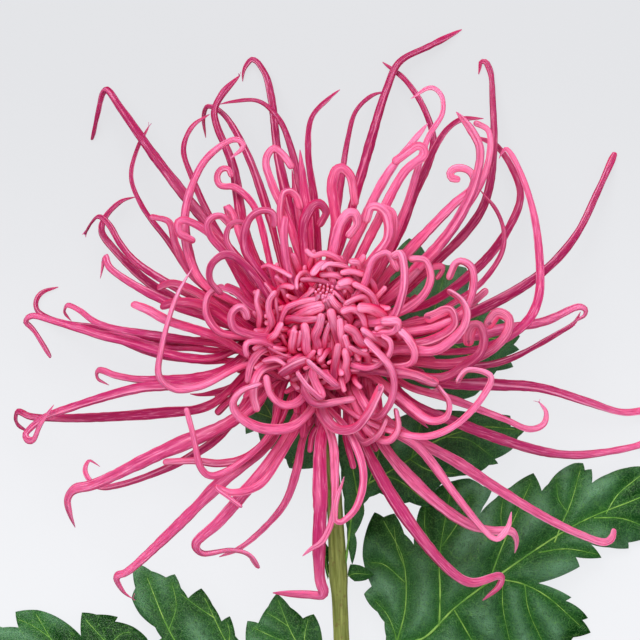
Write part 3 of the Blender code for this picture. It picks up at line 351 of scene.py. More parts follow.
# The stem's route, with its radius, and the visible stem's ridges and slanting cut
STEM_ROUTE = (
    (9, -182, 2.15, 2.1), (8.6, -150, 4.2, 2.05), (7.6, -112, 7.6, 2), (7.1, -97, 9.2, 2.25),
    (6.6, -86, 10.4, 2), (5.9, -70, 12.6, 2), (5.6, -65, 13.3, 2.3), (5.1, -55, 14.9, 2),
    (4.2, -42, 18, 1.95), (2.6, -31, 22, 1.95), (1.5, -22.5, 27.2, 2), (1, -14.6, 35.6, 2.4),
)
STEM_SIDES = 40
STEM_RIDGES = 8
STEM_RIDGE_DEPTH = 0.035
STEM_TWIST = 0.012
STEM_WOBBLES = ((7.0, 0.03), (2.0, 0.015))
STEM_STREAK_LENGTH = 0.04
STEM_CUT_SLANT = 0.5

# Rows of bracts: where each starts, in degrees from the head's axis, how long it is, and how many it has
BRACT_ROWS = ((163, 9.5, 11), (150, 10.0, 13), (136, 8.5, 15))
BRACT_HALF_WIDTH = 2.1
BRACT_THIN = 0.16
BRACT_FOOT = 0.16
BRACT_LIFT = 0.7
BRACT_ROW_LIFT = 0.32
BRACT_BEND = 0.9
BRACT_HOLLOW = 0.25

# The cup and the neck that carry the bracts, and how bumpy the bed is
CUP_ANGLE = math.radians(100)
CUP_LIFT = 0.5
BED_BUMP = 0.02
NECK = ((2.6, 2.2), (0.9, 2.9), (-1.0, 4.2))

# Between which noise values a patchy colour turns into the other one
PATCH_EDGES = (0.35, 0.65)

# The studio
FLOOR_SIZE = 60.0
FLOOR_COLOUR = (0.07, 0.071, 0.073, 1.0)
FLOOR_GLOW_COLOUR = (0.96, 0.97, 1.0, 1.0)
FLOOR_GLOW_NEAR = 0.83
FLOOR_GLOW_FAR = 0.70
FLOOR_NEAR_AND_FAR = (-0.03, 0.13)
SKY_COLOUR = (0.97, 0.98, 1.0, 1.0)
SKY_STRENGTH = 0.2
SUNS = (
    ("key", 2.0, 40, (0.35, -0.75, -1.0), True),
    ("top", 1.6, 45, (0.1, -0.25, -1.0), False),
    ("fill", 1.0, 80, (-0.5, 0.3, -1.0), False),
)

# Outer florets, as in the solids: radius, then points from near the head to the tip
FLORETS = {
    "left": (
        (1, ((-20, 15, 38), (-39, 38, 22), (-49, 52, 11), (-53, 57, 7), (-55, 51, 4), (-56.5, 45, 0.3))),
        (0.75, ((-25, 5, 36), (-38, 20, 24), (-44, 28, 17), (-46.5, 35, 12), (-45, 42, 8), (-42, 48, 4))),
        (1.1, ((-22, -1, 40), (-40, 7, 27), (-51, 17, 14), (-54, 21.5, 9), (-53, 25, 6), (-49, 29, 4),
         (-45.5, 30, 3))),
        (1, ((-32, 5.5, 42), (-45, 13.5, 30), (-49, 18, 25), (-52, 23, 21), (-54.5, 25, 18),
         (-56.5, 23.5, 15), (-58, 21, 12))),
        (1.2, ((-20, -3, 42), (-38, 4, 33), (-47.5, 9, 26), (-52, 12.5, 22), (-53, 15, 20),
         (-54.2, 9.5, 18))),
        (1.15, ((-28, -6, 34), (-54, -3, 12), (-66, -1, 3), (-70.3, 1.5, 1.5), (-70.5, 4, 1.2), (-69, 6, 1),
         (-65, 7.3, 0.3))),
        (1.2, ((-26, -10.5, 42), (-49, -6, 30), (-65, -1.5, 22), (-71.5, 0, 18), (-73, -1.2, 16.5),
         (-71, -3.5, 15), (-67, -10, 12))),
        (1.1, ((-20, -8, 47), (-39, -5, 38), (-54.5, -2, 28), (-59.5, 1.5, 24), (-62.5, 2.7, 22),
         (-63.2, 1, 20), (-61.5, -1.2, 18))),
        (1, ((-16, -12, 55), (-29, -17.5, 58), (-35.5, -18, 60), (-39, -15, 63), (-38.5, -8.5, 66),
         (-35, 4, 68), (-30.7, 12, 66))),
        (1.15, ((-24, -14, 44), (-42, -16, 36), (-50, -15, 31), (-54.6, -13.6, 28), (-55, -15.5, 26.5),
         (-52, -17.3, 25))),
        (1.25, ((-26, -22, 42), (-39, -24.3, 37), (-63, -25.7, 24), (-72, -25.2, 19), (-75, -24, 17),
         (-75.4, -27, 15), (-73.5, -28.5, 14))),
        (1.25, ((-26, -16, 48), (-44, -18, 42), (-61.5, -23, 32), (-69, -26, 27), (-73, -30, 25),
         (-71, -31.2, 28), (-69, -27, 31), (-65.7, -22.3, 33))),
        (1.25, ((-18, -24, 44), (-40.5, -35, 40), (-56, -42.3, 32), (-60.7, -43.5, 29), (-62.3, -46, 27),
         (-61.7, -50, 25), (-60.5, -53, 23))),
        (0.95, ((-22, -28, 40), (-31.7, -35.3, 36), (-48.7, -42.2, 28), (-55, -42.7, 24), (-58, -39, 21),
         (-57, -36.3, 20), (-54.3, -37.8, 19))),
    ),
    "lower": (
        (1.3, ((-10, -29, 48), (-24, -42, 46), (-37, -54.8, 41), (-47.5, -64.2, 35), (-50, -65.3, 33),
         (-48, -69.5, 30), (-45.7, -71, 29))),
        (1.3, ((-7, -29.5, 52), (-15, -40.7, 53), (-24, -51.2, 50), (-30, -57, 46), (-28.5, -59.3, 44),
         (-21, -58.5, 43), (-16.8, -59.7, 42), (-14.7, -62.7, 40))),
        (0.95, ((-3, -30, 49), (-4.7, -38, 48), (-7.5, -46.2, 45), (-12, -52, 42), (-19, -58, 38),
         (-24.2, -60.3, 35))),
        (1.55, ((1.5, -29.5, 54), (1.2, -47, 56), (0.8, -57.5, 54), (1, -66, 50), (1.8, -69.6, 48),
         (-2, -69.6, 47), (-10.7, -69.2, 44))),
        (1, ((3.7, -29.5, 58), (4.7, -40, 60), (4.2, -50, 60), (1.5, -56.2, 59), (-1.2, -58, 58),
         (-3.3, -59.8, 57))),
        (1.1, ((8.5, -29.5, 62), (11.7, -38.2, 65), (11.2, -44.5, 66), (9, -49, 67), (5.3, -51.4, 68),
         (5, -47, 69), (7, -40, 69))),
        (1.3, ((12, -32, 52), (22.5, -50.5, 50), (34.5, -64.6, 42), (39, -66.8, 39), (46.3, -65.2, 35),
         (46, -67.5, 34), (41.8, -71.2, 33))),
        (1.3, ((16, -31, 48), (26, -43, 46), (38, -52, 41), (44.3, -53.7, 38), (49, -54, 36),
         (50.3, -56.7, 34), (49.8, -59.3, 33))),
        (1.1, ((16, -26, 54), (26, -33.2, 54), (34.7, -44.5, 51), (42, -53.5, 47), (45, -55.8, 46),
         (47.8, -53.2, 45), (48.8, -49, 45))),
        (1.3, ((16, -24, 46), (36.5, -37.2, 40), (47, -44.2, 35), (57.5, -50.5, 29), (66, -54.7, 24),
         (72.5, -56.8, 20), (74.3, -55.7, 18.5), (74.8, -54, 18))),
    ),
    "right": (
        (1.25, ((22, -20, 42), (38, -27.7, 33), (55.7, -33.7, 20), (64.5, -35, 13), (71.5, -34.5, 8),
         (81, -32.7, 3.5), (88, -30, 0.3))),
        (1.35, ((26, -15.5, 35), (45, -17.2, 24), (56, -18, 17), (68, -21.5, 10), (76.7, -24.2, 5),
         (81, -24, 3), (87, -22.5, 0.3))),
        (1.05, ((22, -17, 48), (33, -20.5, 46), (47, -25.7, 41), (53.5, -28.3, 38), (57, -27, 36),
         (57.6, -24, 35), (55.7, -21.4, 34))),
        (1.3, ((20, -8, 45), (38, -5, 39), (47, -3.2, 34), (57.5, -1.3, 28), (66.5, 2.3, 23), (68, 0.8, 22),
         (64.8, -1.6, 22))),
        (1, ((22, -11, 43), (40, -12.5, 33), (48.7, -10.7, 25), (61, -4.2, 17), (65, -1.6, 14),
         (66.5, 1, 12))),
        (1.15, ((20, -5, 40), (38, 0.3, 30), (56.5, 10.7, 17), (65.3, 20.2, 10), (71, 31.5, 5),
         (75.2, 40.8, 0.3))),
        (1.05, ((22, -9, 50), (42, -8, 46), (52, -2.3, 43), (55.6, 4, 40), (55.7, 18, 34), (53.5, 29.7, 28),
         (49.6, 39.5, 24), (47.5, 42, 23), (46, 39.6, 22))),
        (0.7, ((22, -3, 46), (34, 3, 42), (41, 8, 39), (46.5, 16, 34), (47, 21.5, 31), (45.2, 26.5, 29),
         (41, 31.8, 27))),
        (1.15, ((26, 2.2, 30), (40, 11.5, 22), (48, 21.2, 15), (51.5, 30, 10), (49.7, 36.5, 7),
         (45.5, 42.8, 4), (40.2, 45.3, 0.3))),
    ),
    "top": (
        (1.15, ((16, 2, 38), (28.5, 12, 30), (41.5, 26.5, 18), (44.6, 40, 10), (44.5, 54, 4),
         (43.8, 62, 1.5), (42, 64.6, 1), (41, 61, 0.3))),
        (1.05, ((12, 6, 46), (20, 19, 40), (26, 34, 32), (32.7, 46.5, 24), (36.5, 49.3, 22),
         (42, 49.6, 20))),
        (1, ((10, 4, 42), (19, 20, 32), (28, 38, 20), (29.5, 44, 16), (27, 52.7, 10), (22.3, 59.7, 5),
         (16.8, 64, 0.3))),
        (0.9, ((14, 8, 50), (22, 26, 42), (28, 44.5, 33), (31.7, 51, 30), (31.3, 55.5, 28), (28.8, 57.3, 27),
         (23.8, 54.5, 26))),
        (0.95, ((5.5, 8, 41), (11, 22, 35), (17.5, 35, 27), (24.5, 44, 23), (28, 48.3, 20))),
        (1.15, ((4, 9, 37), (9, 27, 27), (14, 45, 15), (17.7, 57, 8), (21, 64, 5), (28.5, 68, 3),
         (36.7, 72.2, 0.3))),
        (0.8, ((2.5, 10, 34), (5.5, 28, 22), (8, 44.5, 12), (10, 51.5, 8), (14, 55.5, 4),
         (17.5, 56.6, 0.5))),
        (1, ((0.5, 12, 42), (-0.5, 29, 30), (-2, 41, 21), (-1, 50, 14), (3.5, 55, 9), (6, 57, 7))),
        (1.1, ((-3, 10, 36), (-6, 24, 27), (-9.5, 40, 17), (-11.3, 55, 7), (-13, 61.3, 4), (-16, 64.7, 2),
         (-18.2, 62, 1.2), (-18.5, 59.2, 0.3))),
        (0.95, ((-2, 12, 44), (-3.5, 28, 35), (-6, 41, 27), (-9.5, 49.7, 22), (-14.5, 54, 19),
         (-21.5, 53.8, 17), (-24.5, 53, 16))),
        (1.2, ((-11.5, 5, 44), (-18, 22, 36), (-21, 38, 26), (-25, 48, 18), (-25.5, 51.5, 16),
         (-23.5, 56, 12), (-19.2, 60.5, 9))),
        (0.95, ((-7, 8, 38), (-12, 26, 28), (-17.7, 41.5, 17), (-23.5, 51, 9), (-27.2, 52.8, 6),
         (-28.4, 50, 2.5), (-27.8, 45, 0.3))),
        (0.85, ((-14, 6, 40), (-24, 20, 30), (-31, 34.5, 20), (-33.3, 42, 15), (-31, 47.8, 11),
         (-26.8, 50.8, 8.5))),
        (1.1, ((-16, 1, 50), (-29, 9, 46), (-32.8, 22, 42), (-31.5, 31, 40), (-27, 39.8, 38),
         (-20, 44.2, 37), (-18.1, 42.6, 37), (-21.3, 39.5, 37))),
        (1.15, ((12, 4, 50), (22.3, 15.3, 46), (34, 27.5, 41), (39.6, 33, 39), (38.5, 36.2, 38),
         (35, 37, 38), (33.3, 35, 38), (35.5, 34.2, 38))),
        (1.25, ((14, 0, 54), (28, 14.5, 50), (36, 25, 46), (40.2, 35, 42), (41, 42, 39), (38.5, 47, 37),
         (35.2, 51, 35))),
    ),
}

# Inner florets with hooked ends, in the same way
HOOKS = (
    (0.9, ((-3, 12, 56), (-7, 24, 53), (-11, 33, 50), (-12.5, 39, 48), (-10.5, 41.9, 47), (-8, 40, 47),
     (-6.3, 37.5, 47))),
    (0.8, ((-10, 8, 44), (-15.5, 27.5, 38), (-20.5, 32.3, 35.5), (-23.8, 32.6, 34.5), (-24.8, 34.8, 34),
     (-23.8, 36.7, 34), (-22, 36.8, 34.3), (-21.3, 35.4, 34.6))),
    (1.1, ((-24, -5.5, 52), (-37, -1.2, 46), (-42, 1.5, 43), (-45.3, 2.8, 41))),
    (0.8, ((-12, -30, 53), (-22.5, -38.8, 55), (-26.5, -39.8, 56), (-28.7, -37.8, 57), (-30.5, -30, 59),
     (-32.2, -23.5, 60))),
    (0.85, ((-10, -28, 50), (-17, -35, 50), (-24, -36.8, 49), (-30, -36.2, 47.5), (-37.5, -36.5, 45))),
    (0.8, ((-6, -30, 53), (-14, -42, 56), (-21, -44, 58), (-25, -42.7, 59), (-22.5, -44.6, 60),
     (-19, -47.2, 60))),
    (1.1, ((24, -4, 55), (33, -0.5, 57), (38.5, 3, 58), (42, 6, 59))),
    (1.15, ((18, -5, 58), (30, -2.5, 60), (37, 1.5, 62), (39.2, 8, 64), (38.3, 12.6, 65), (35.2, 13.6, 65),
     (33.3, 10, 64))),
    (1.15, ((20, -11, 52), (34, -11.7, 53), (42.7, -9, 53), (47.3, -4.5, 53), (48, -0.8, 53),
     (45.3, 0.6, 53), (43.2, -2, 53))),
    (1.15, ((18, -13, 57), (31, -15.5, 60), (37, -12.5, 61), (41, -9, 62), (41.8, -5, 62), (40, -2, 62),
     (38.2, -4, 61), (38, -6.5, 60))),
    (1.15, ((20, -8.5, 62), (29.5, -8.5, 66), (33.5, -6.2, 68), (36.8, -2.5, 70), (37.5, 1, 71), (36, 4, 71),
     (33.5, 5.8, 71))),
    (0.8, ((12, -26, 60), (21, -29.3, 62), (28, -30, 63), (35, -27, 64), (41.7, -19.8, 66), (43.5, -15, 67),
     (37.5, -13.6, 68), (35.5, -16, 68))),
    (0.8, ((18, 4, 42), (34, 22, 30), (42.5, 36, 22), (43.8, 44.5, 19), (43, 47, 18), (40.3, 48.4, 17))),
    (1.05, ((8, 8, 56), (15, 23, 54), (22, 36, 50), (27, 40.5, 48), (26, 42.5, 48), (20, 38.7, 47))),
    (1, ((-11, 6, 60), (-17.5, 16, 64), (-17, 23.5, 66), (-13.5, 26.2, 67), (-10.7, 25.5, 67),
     (-10.5, 22.8, 66))),
    (1, ((-13, 3, 55), (-22, 15, 58), (-26.5, 20.5, 59), (-26.8, 23.6, 60), (-24, 25, 60),
     (-21.3, 22.6, 59))),
    (0.9, ((-10, 3, 60), (-18, 13, 63), (-22.3, 19, 64), (-21, 23, 65), (-18, 23, 65), (-17.2, 20.6, 64))),
    (1, ((-10, 1, 62), (-18, 13, 65), (-22.5, 15.3, 66), (-26, 12.8, 66), (-26.4, 9, 65), (-24, 6, 64))),
    (1.1, ((-10, -2, 60), (-17, 3, 62), (-20.5, 6, 63), (-23.5, 7, 63))),
    (1, ((-13, -6, 56), (-24, -4, 58), (-27.4, 1, 59), (-26.6, 5.5, 60), (-23.8, 7.2, 60))),
    (1.15, ((-10, -6, 62), (-17, -4.5, 66), (-20.7, -2.5, 68), (-20.8, 1, 69), (-18.5, 2.3, 69),
     (-17.3, 0, 68))),
    (0.9, ((-9, -9, 62), (-14, -6.3, 68), (-17.5, -7, 70), (-17.3, -9.5, 69))),
    (0.85, ((-9, -8, 60), (-14, -9, 64), (-16.2, -12, 64), (-17, -16, 62))),
    (0.9, ((-7, -10, 62), (-12.5, -11.3, 67), (-9.5, -11, 70), (-7.5, -12.5, 70))),
    (0.95, ((-2, -15, 58), (-4, -21, 62), (-8, -22.2, 64), (-11.3, -19.5, 66), (-12.3, -15.5, 67))),
    (1.15, ((0, -20, 56), (-5, -27, 60), (-12, -28.2, 63), (-18.5, -25.6, 66), (-20.7, -22, 68),
     (-18.5, -18.8, 69), (-14.5, -17.3, 69))),
    (1, ((-9, -12, 60), (-14, -14, 64), (-15.6, -19, 65), (-14.8, -23, 64))),
    (1.15, ((-2, -14, 62), (-2.6, -19, 66), (0, -21.7, 68), (8.8, -20.8, 69))),
    (1.15, ((1, -16, 58), (1.5, -23.5, 62), (5, -28, 64), (9.5, -28, 66), (12.5, -25, 68), (16, -18, 69))),
    (0.95, ((2, -14, 66), (5, -17.3, 72), (1, -14, 74), (-1.7, -11.5, 74))),
    (0.95, ((-1, -14, 66), (1.5, -20.5, 70), (-2, -17.5, 72), (-4.3, -14.5, 72))),
    (0.9, ((-5, -13, 66), (-8.5, -14.3, 70), (-5.5, -12, 73), (-3, -11, 73))),
    (1.2, ((10, -18, 58), (15, -25, 63), (18.3, -22, 67), (19.5, -17, 70), (18.5, -13, 72),
     (12.8, -6.5, 74))),
    (1, ((7, -12, 62), (13.5, -13, 67), (18, -10, 70), (18.6, -6.5, 71), (17, -5.2, 71))),
    (1, ((8, -6, 62), (15, -4.5, 67), (20, -3.5, 69), (20.5, -1.5, 70), (17, -1.2, 70))),
    (1, ((9, -10, 60), (19, -12.5, 64), (24, -11.5, 66), (24.5, -8.5, 68), (22.5, -5.2, 69),
     (21, -3.7, 69))),
    (1.4, ((9, -13, 62), (20, -14, 67), (25, -14.7, 68), (29.3, -16.2, 68))),
    (1.1, ((9, -20, 56), (14, -29.5, 60), (18, -31, 62), (20.3, -28, 64), (19.8, -24, 65))),
    (0.95, ((8, -20, 54), (9.5, -28, 58), (12, -31.3, 60), (15.5, -29.5, 62), (17, -26, 63))),
    (1.1, ((12, -14, 56), (21, -20.5, 60), (28.5, -26, 62), (32.5, -25, 64), (33, -21.5, 65),
     (30.5, -18, 65))),
    (1.2, ((10, -2, 62), (18.5, -1, 68), (21.5, 5.5, 71), (22, 11, 71), (21, 15.5, 70), (19.5, 15, 69))),
    (1.1, ((12, -2, 56), (22, 1.5, 61), (27, 5.5, 63), (28.6, 9.8, 64), (27, 14, 65), (24, 14.2, 65))),
    (1.1, ((12, 0, 58), (20, 6, 60), (25, 11, 60))),
    (1.1, ((7, 0, 62), (12, 8, 67), (14.5, 14.5, 69), (18, 15.7, 69), (20, 12, 68))),
    (1.1, ((7, 4, 58), (14, 14, 60), (18, 20, 60), (17, 26, 60), (14, 27.3, 60), (12.6, 24, 59))),
    (1, ((8, 4, 54), (15, 14, 56), (19, 20, 56), (18.8, 26, 56), (16, 27.2, 56))),
    (1.15, ((3, 6, 62), (4.2, 16, 66), (6.3, 23.7, 67), (9, 26, 67), (10.3, 23.3, 66), (8.4, 20.3, 65))),
    (1.1, ((2, 8, 48), (5, 22, 46), (4, 33, 44), (5.7, 37, 43), (8.3, 35.5, 43), (9.7, 28.5, 42))),
    (1.1, ((-1, 6, 58), (-3, 17, 60), (-2.8, 24, 61), (0.3, 28.2, 61), (2.6, 26, 60), (1.2, 23, 59))),
    (1, ((-4, 6, 56), (-7.5, 16, 57), (-8.9, 26, 56), (-7.5, 31.2, 56), (-5, 30, 55), (-4, 27.5, 55))),
    (1, ((-4, 4, 62), (-7, 12, 66), (-8, 20, 67), (-7.7, 24, 66))),
    (0.8, ((-14, 8, 50), (-19, 20, 48), (-21, 26, 46), (-22.3, 27.3, 45), (-21.5, 24.5, 44))),
    (1, ((-16, 4, 54), (-24, 18, 52), (-30.5, 23, 50), (-34, 23.8, 50), (-34.3, 21, 50), (-31, 19, 50))),
    (0.85, ((16, 2, 52), (28, 12, 50), (31.8, 12, 49), (30.5, 9.7, 48))),
    (1.05, ((-18, -2, 50), (-30, 6, 48), (-36, 8.2, 47), (-38.8, 7.3, 46))),
    (1.25, ((-18, -4, 54), (-28, 2.5, 53), (-35, 3.3, 52), (-37.8, 2.5, 51))),
    (0.85, ((-16, 0, 46), (-31, 10, 38), (-35.2, 18, 34), (-36.8, 23.5, 32), (-41, 24.8, 30))),
    (1.1, ((13, -7, 56), (24, -7, 59), (31, -5, 61), (34.8, -1.5, 62), (33.5, 1.4, 62), (28, -0.5, 61))),
    (1.3, ((13, -5, 50), (22, -2.5, 52), (34, -0.3, 52))),
)

# Leaves: the outline on the drawing plane, then height points
LEAVES = {
    "leaf_lower_right": (
        ((9.9, -98), (18, -85.5), (17.6, -80.5), (17.2, -77), (15.5, -74.5), (13.5, -72.5), (12.5, -70),
         (14, -68), (11.8, -60.5), (12.5, -54.8), (15, -50), (17, -50.6), (19.5, -50.2), (22.2, -54.8),
         (24.6, -57.5), (25.2, -52.2), (26.3, -48.3), (28.5, -46), (31, -43), (35, -41.4), (38.5, -41),
         (42, -42.8), (43.7, -43.8), (42, -48), (39.5, -52.5), (36.8, -60), (39.9, -55), (41.3, -49.8),
         (45, -46), (49, -43), (54.5, -40.2), (56.8, -44), (58.5, -42.2), (61, -39.3), (65, -37.2),
         (67, -37.4), (67.7, -38.8), (69, -39), (69.5, -42), (73.5, -39.8), (78.5, -38.2), (82.2, -38),
         (86, -39.5), (89.5, -39.8), (93.5, -40.5), (92.5, -43.5), (88.5, -46), (89, -49), (84.8, -51),
         (84.8, -54.8), (78.7, -57.1), (78.4, -58.1), (74, -58.3), (69.3, -57.5), (71.2, -60.5),
         (65.4, -60.7), (65.8, -62.8), (56, -67.2), (63.5, -71), (62.9, -71.7), (66, -73.5), (67.8, -76),
         (67.1, -76.6), (68.5, -79.5), (64.8, -81), (61, -84.8), (56, -84), (51, -86.5), (46, -83.5),
         (42.2, -88), (37.2, -91), (33.5, -89), (28.5, -88.5), (24.8, -86.5), (19.5, -87.5), (10.2, -99.6)),
        ((10, -98.6, 9.4), (18, -86, 11), (27, -80, 12), (45, -66, 13), (66, -52, 9), (93, -41.5, 0.6),
         (15, -51, 9), (12.5, -62, 9), (34, -43, 11.4), (54, -42, 11), (66, -39, 7), (82, -39, 3.5),
         (68, -78, 3), (51, -86, 4), (30, -88, 7.5), (84, -54, 2.5)),
    ),
    "leaf_right": (
        ((9.1, -62), (10.2, -57), (9.8, -54.8), (12, -49.8), (12, -47.2), (13.5, -45.5), (16, -44.5),
         (18, -45.3), (21, -47), (23.5, -46.8), (28, -47.6), (30.2, -43.5), (32.8, -40.5), (36, -40.2),
         (41, -39.2), (43.5, -37.5), (45.2, -36.8), (45, -36), (49.2, -33.5), (50.8, -30.5), (51.8, -29),
         (49, -27.8), (48.5, -25.5), (44, -24.8), (38.5, -24.2), (33.5, -23.8), (27.2, -23.6), (21, -25.4),
         (15, -27.4), (10, -26.6), (6.2, -28.4), (5.6, -31.5), (6.3, -38.5), (7.1, -46), (7.8, -53.5),
         (8.5, -60)),
        ((9, -61, 14), (7.8, -52, 16), (7, -46, 17.5), (6.2, -38, 19.8), (6.4, -29, 22.5), (15, -43, 16.5),
         (25, -35, 18), (40, -28, 14), (51, -30, 9), (28, -47, 14.6), (45, -37, 11.5), (33, -24, 16),
         (33, -40, 15.5)),
    ),
    "leaf_upper_right": (
        ((4.6, -22.4), (9, -20.6), (16, -17.8), (23.5, -17.6), (31, -18.2), (36.5, -20.8), (40, -19.8),
         (43.5, -16), (45.5, -13.8), (49, -12.5), (48, -10), (50.5, -8.3), (49.8, -7.2), (50.8, -5.2),
         (46, -0.5), (41, 2.8), (38, 6), (38.5, 9), (37.5, 11.8), (33, 12.8), (28.5, 13.5), (26.5, 17.2),
         (23.5, 19), (20.5, 16.5), (18, 6.5), (14.5, -3.5), (11, -12), (8, -17.2), (4.4, -20.4)),
        ((4.5, -21.4, 28), (10, -17.5, 26), (18, -10, 24), (20, 6, 19), (23.5, 18, 13.5), (33, 11.5, 12),
         (35, -3, 15), (50, -6, 4), (48, -12, 5), (37, -20, 10), (24, -17, 19)),
    ),
    "leaf_lower_left": (
        ((4.3, -96.6), (-6.5, -94.2), (-13.5, -90), (-18, -84), (-20.3, -80.5), (-22, -76.2), (-23.8, -76.8),
         (-26, -72.8), (-29, -69.2), (-32.2, -71), (-34, -68.5), (-35.8, -65.5), (-37.8, -65.8),
         (-41.5, -64.2), (-44.5, -63), (-45.8, -64.2), (-45.5, -68.5), (-46.2, -71), (-44.3, -75),
         (-40.5, -78.3), (-38.8, -81), (-41.5, -83.5), (-42.7, -81), (-46, -78.3), (-50.6, -76.9),
         (-50.5, -76.2), (-55.3, -75.2), (-58.5, -75.2), (-59.2, -80.5), (-65, -76), (-70.2, -74.2),
         (-75.2, -75), (-75, -78.5), (-79, -78.5), (-84, -78), (-84.5, -81), (-88.5, -83.5), (-86.5, -87),
         (-81.5, -89), (-82, -93.5), (-76.5, -94.8), (-71.5, -93.5), (-69, -98.5), (-62.8, -102),
         (-57.8, -99.8), (-55, -96), (-51.5, -103.5), (-46.5, -108), (-40.2, -107), (-37.8, -102),
         (-34, -107), (-27.8, -106.5), (-22.8, -102), (-19, -99), (-11.5, -98.8), (4.3, -98.6)),
        ((4, -97.6, 9.4), (-15, -93, 11), (-40, -88, 11), (-66, -87, 7), (-88, -84, 0.6), (-29, -71, 9),
         (-45, -64, 6), (-58, -76, 6), (-72, -75, 2.5), (-46, -107, 4), (-62, -101, 2), (-28, -106, 6)),
    ),
    "leaf_left": (
        ((-0.7, -24.4), (-3, -19.6), (-10, -18.6), (-16, -20.5), (-19.5, -23), (-17.5, -26), (-17.2, -29),
         (-14.6, -28.4), (-13.5, -32), (-11, -33.5), (-7.5, -36), (-6.5, -37.8), (-1, -38), (0.7, -36.8),
         (-0.3, -31)),
        ((-0.8, -24.8, 26), (-8, -25, 25.5), (-19, -23, 21), (-16, -29, 20), (-7, -37, 20.5),
         (0.4, -36, 22)),
    ),
    "leaf_left_small": (
        ((4.1, -92.2), (1.6, -84), (1, -78.5), (-0.8, -75.5), (-3.3, -76), (-6.5, -73.2), (-9.8, -70.5),
         (-12, -73), (-14.5, -77.2), (-16.8, -77.2), (-17.5, -81.5), (-15, -86.2), (-10, -88.6),
         (-3.5, -89.6), (3.9, -93.8)),
        ((3.9, -93, 10.6), (-3, -86, 14.5), (-9.5, -71.5, 13.5), (-16.5, -79, 13.5), (0.5, -79, 14)),
    ),
    "leaflet_right": (
        ((8.4, -65), (9, -62.9), (11, -62.8), (12.5, -63.5), (13.8, -65), (12.5, -66.2), (9.8, -66.4)),
        ((8.5, -65, 13.4), (11, -64.5, 13.8), (13.7, -65, 13.2), (9, -66.3, 13.4)),
    ),
    "leaflet_left": (
        ((3, -66), (2.2, -63), (1.6, -59.5), (2, -57.2), (2.9, -58.2), (3.1, -62)),
        ((3, -65.5, 13), (2, -60, 15), (2.6, -57.8, 15.4)),
    ),
}

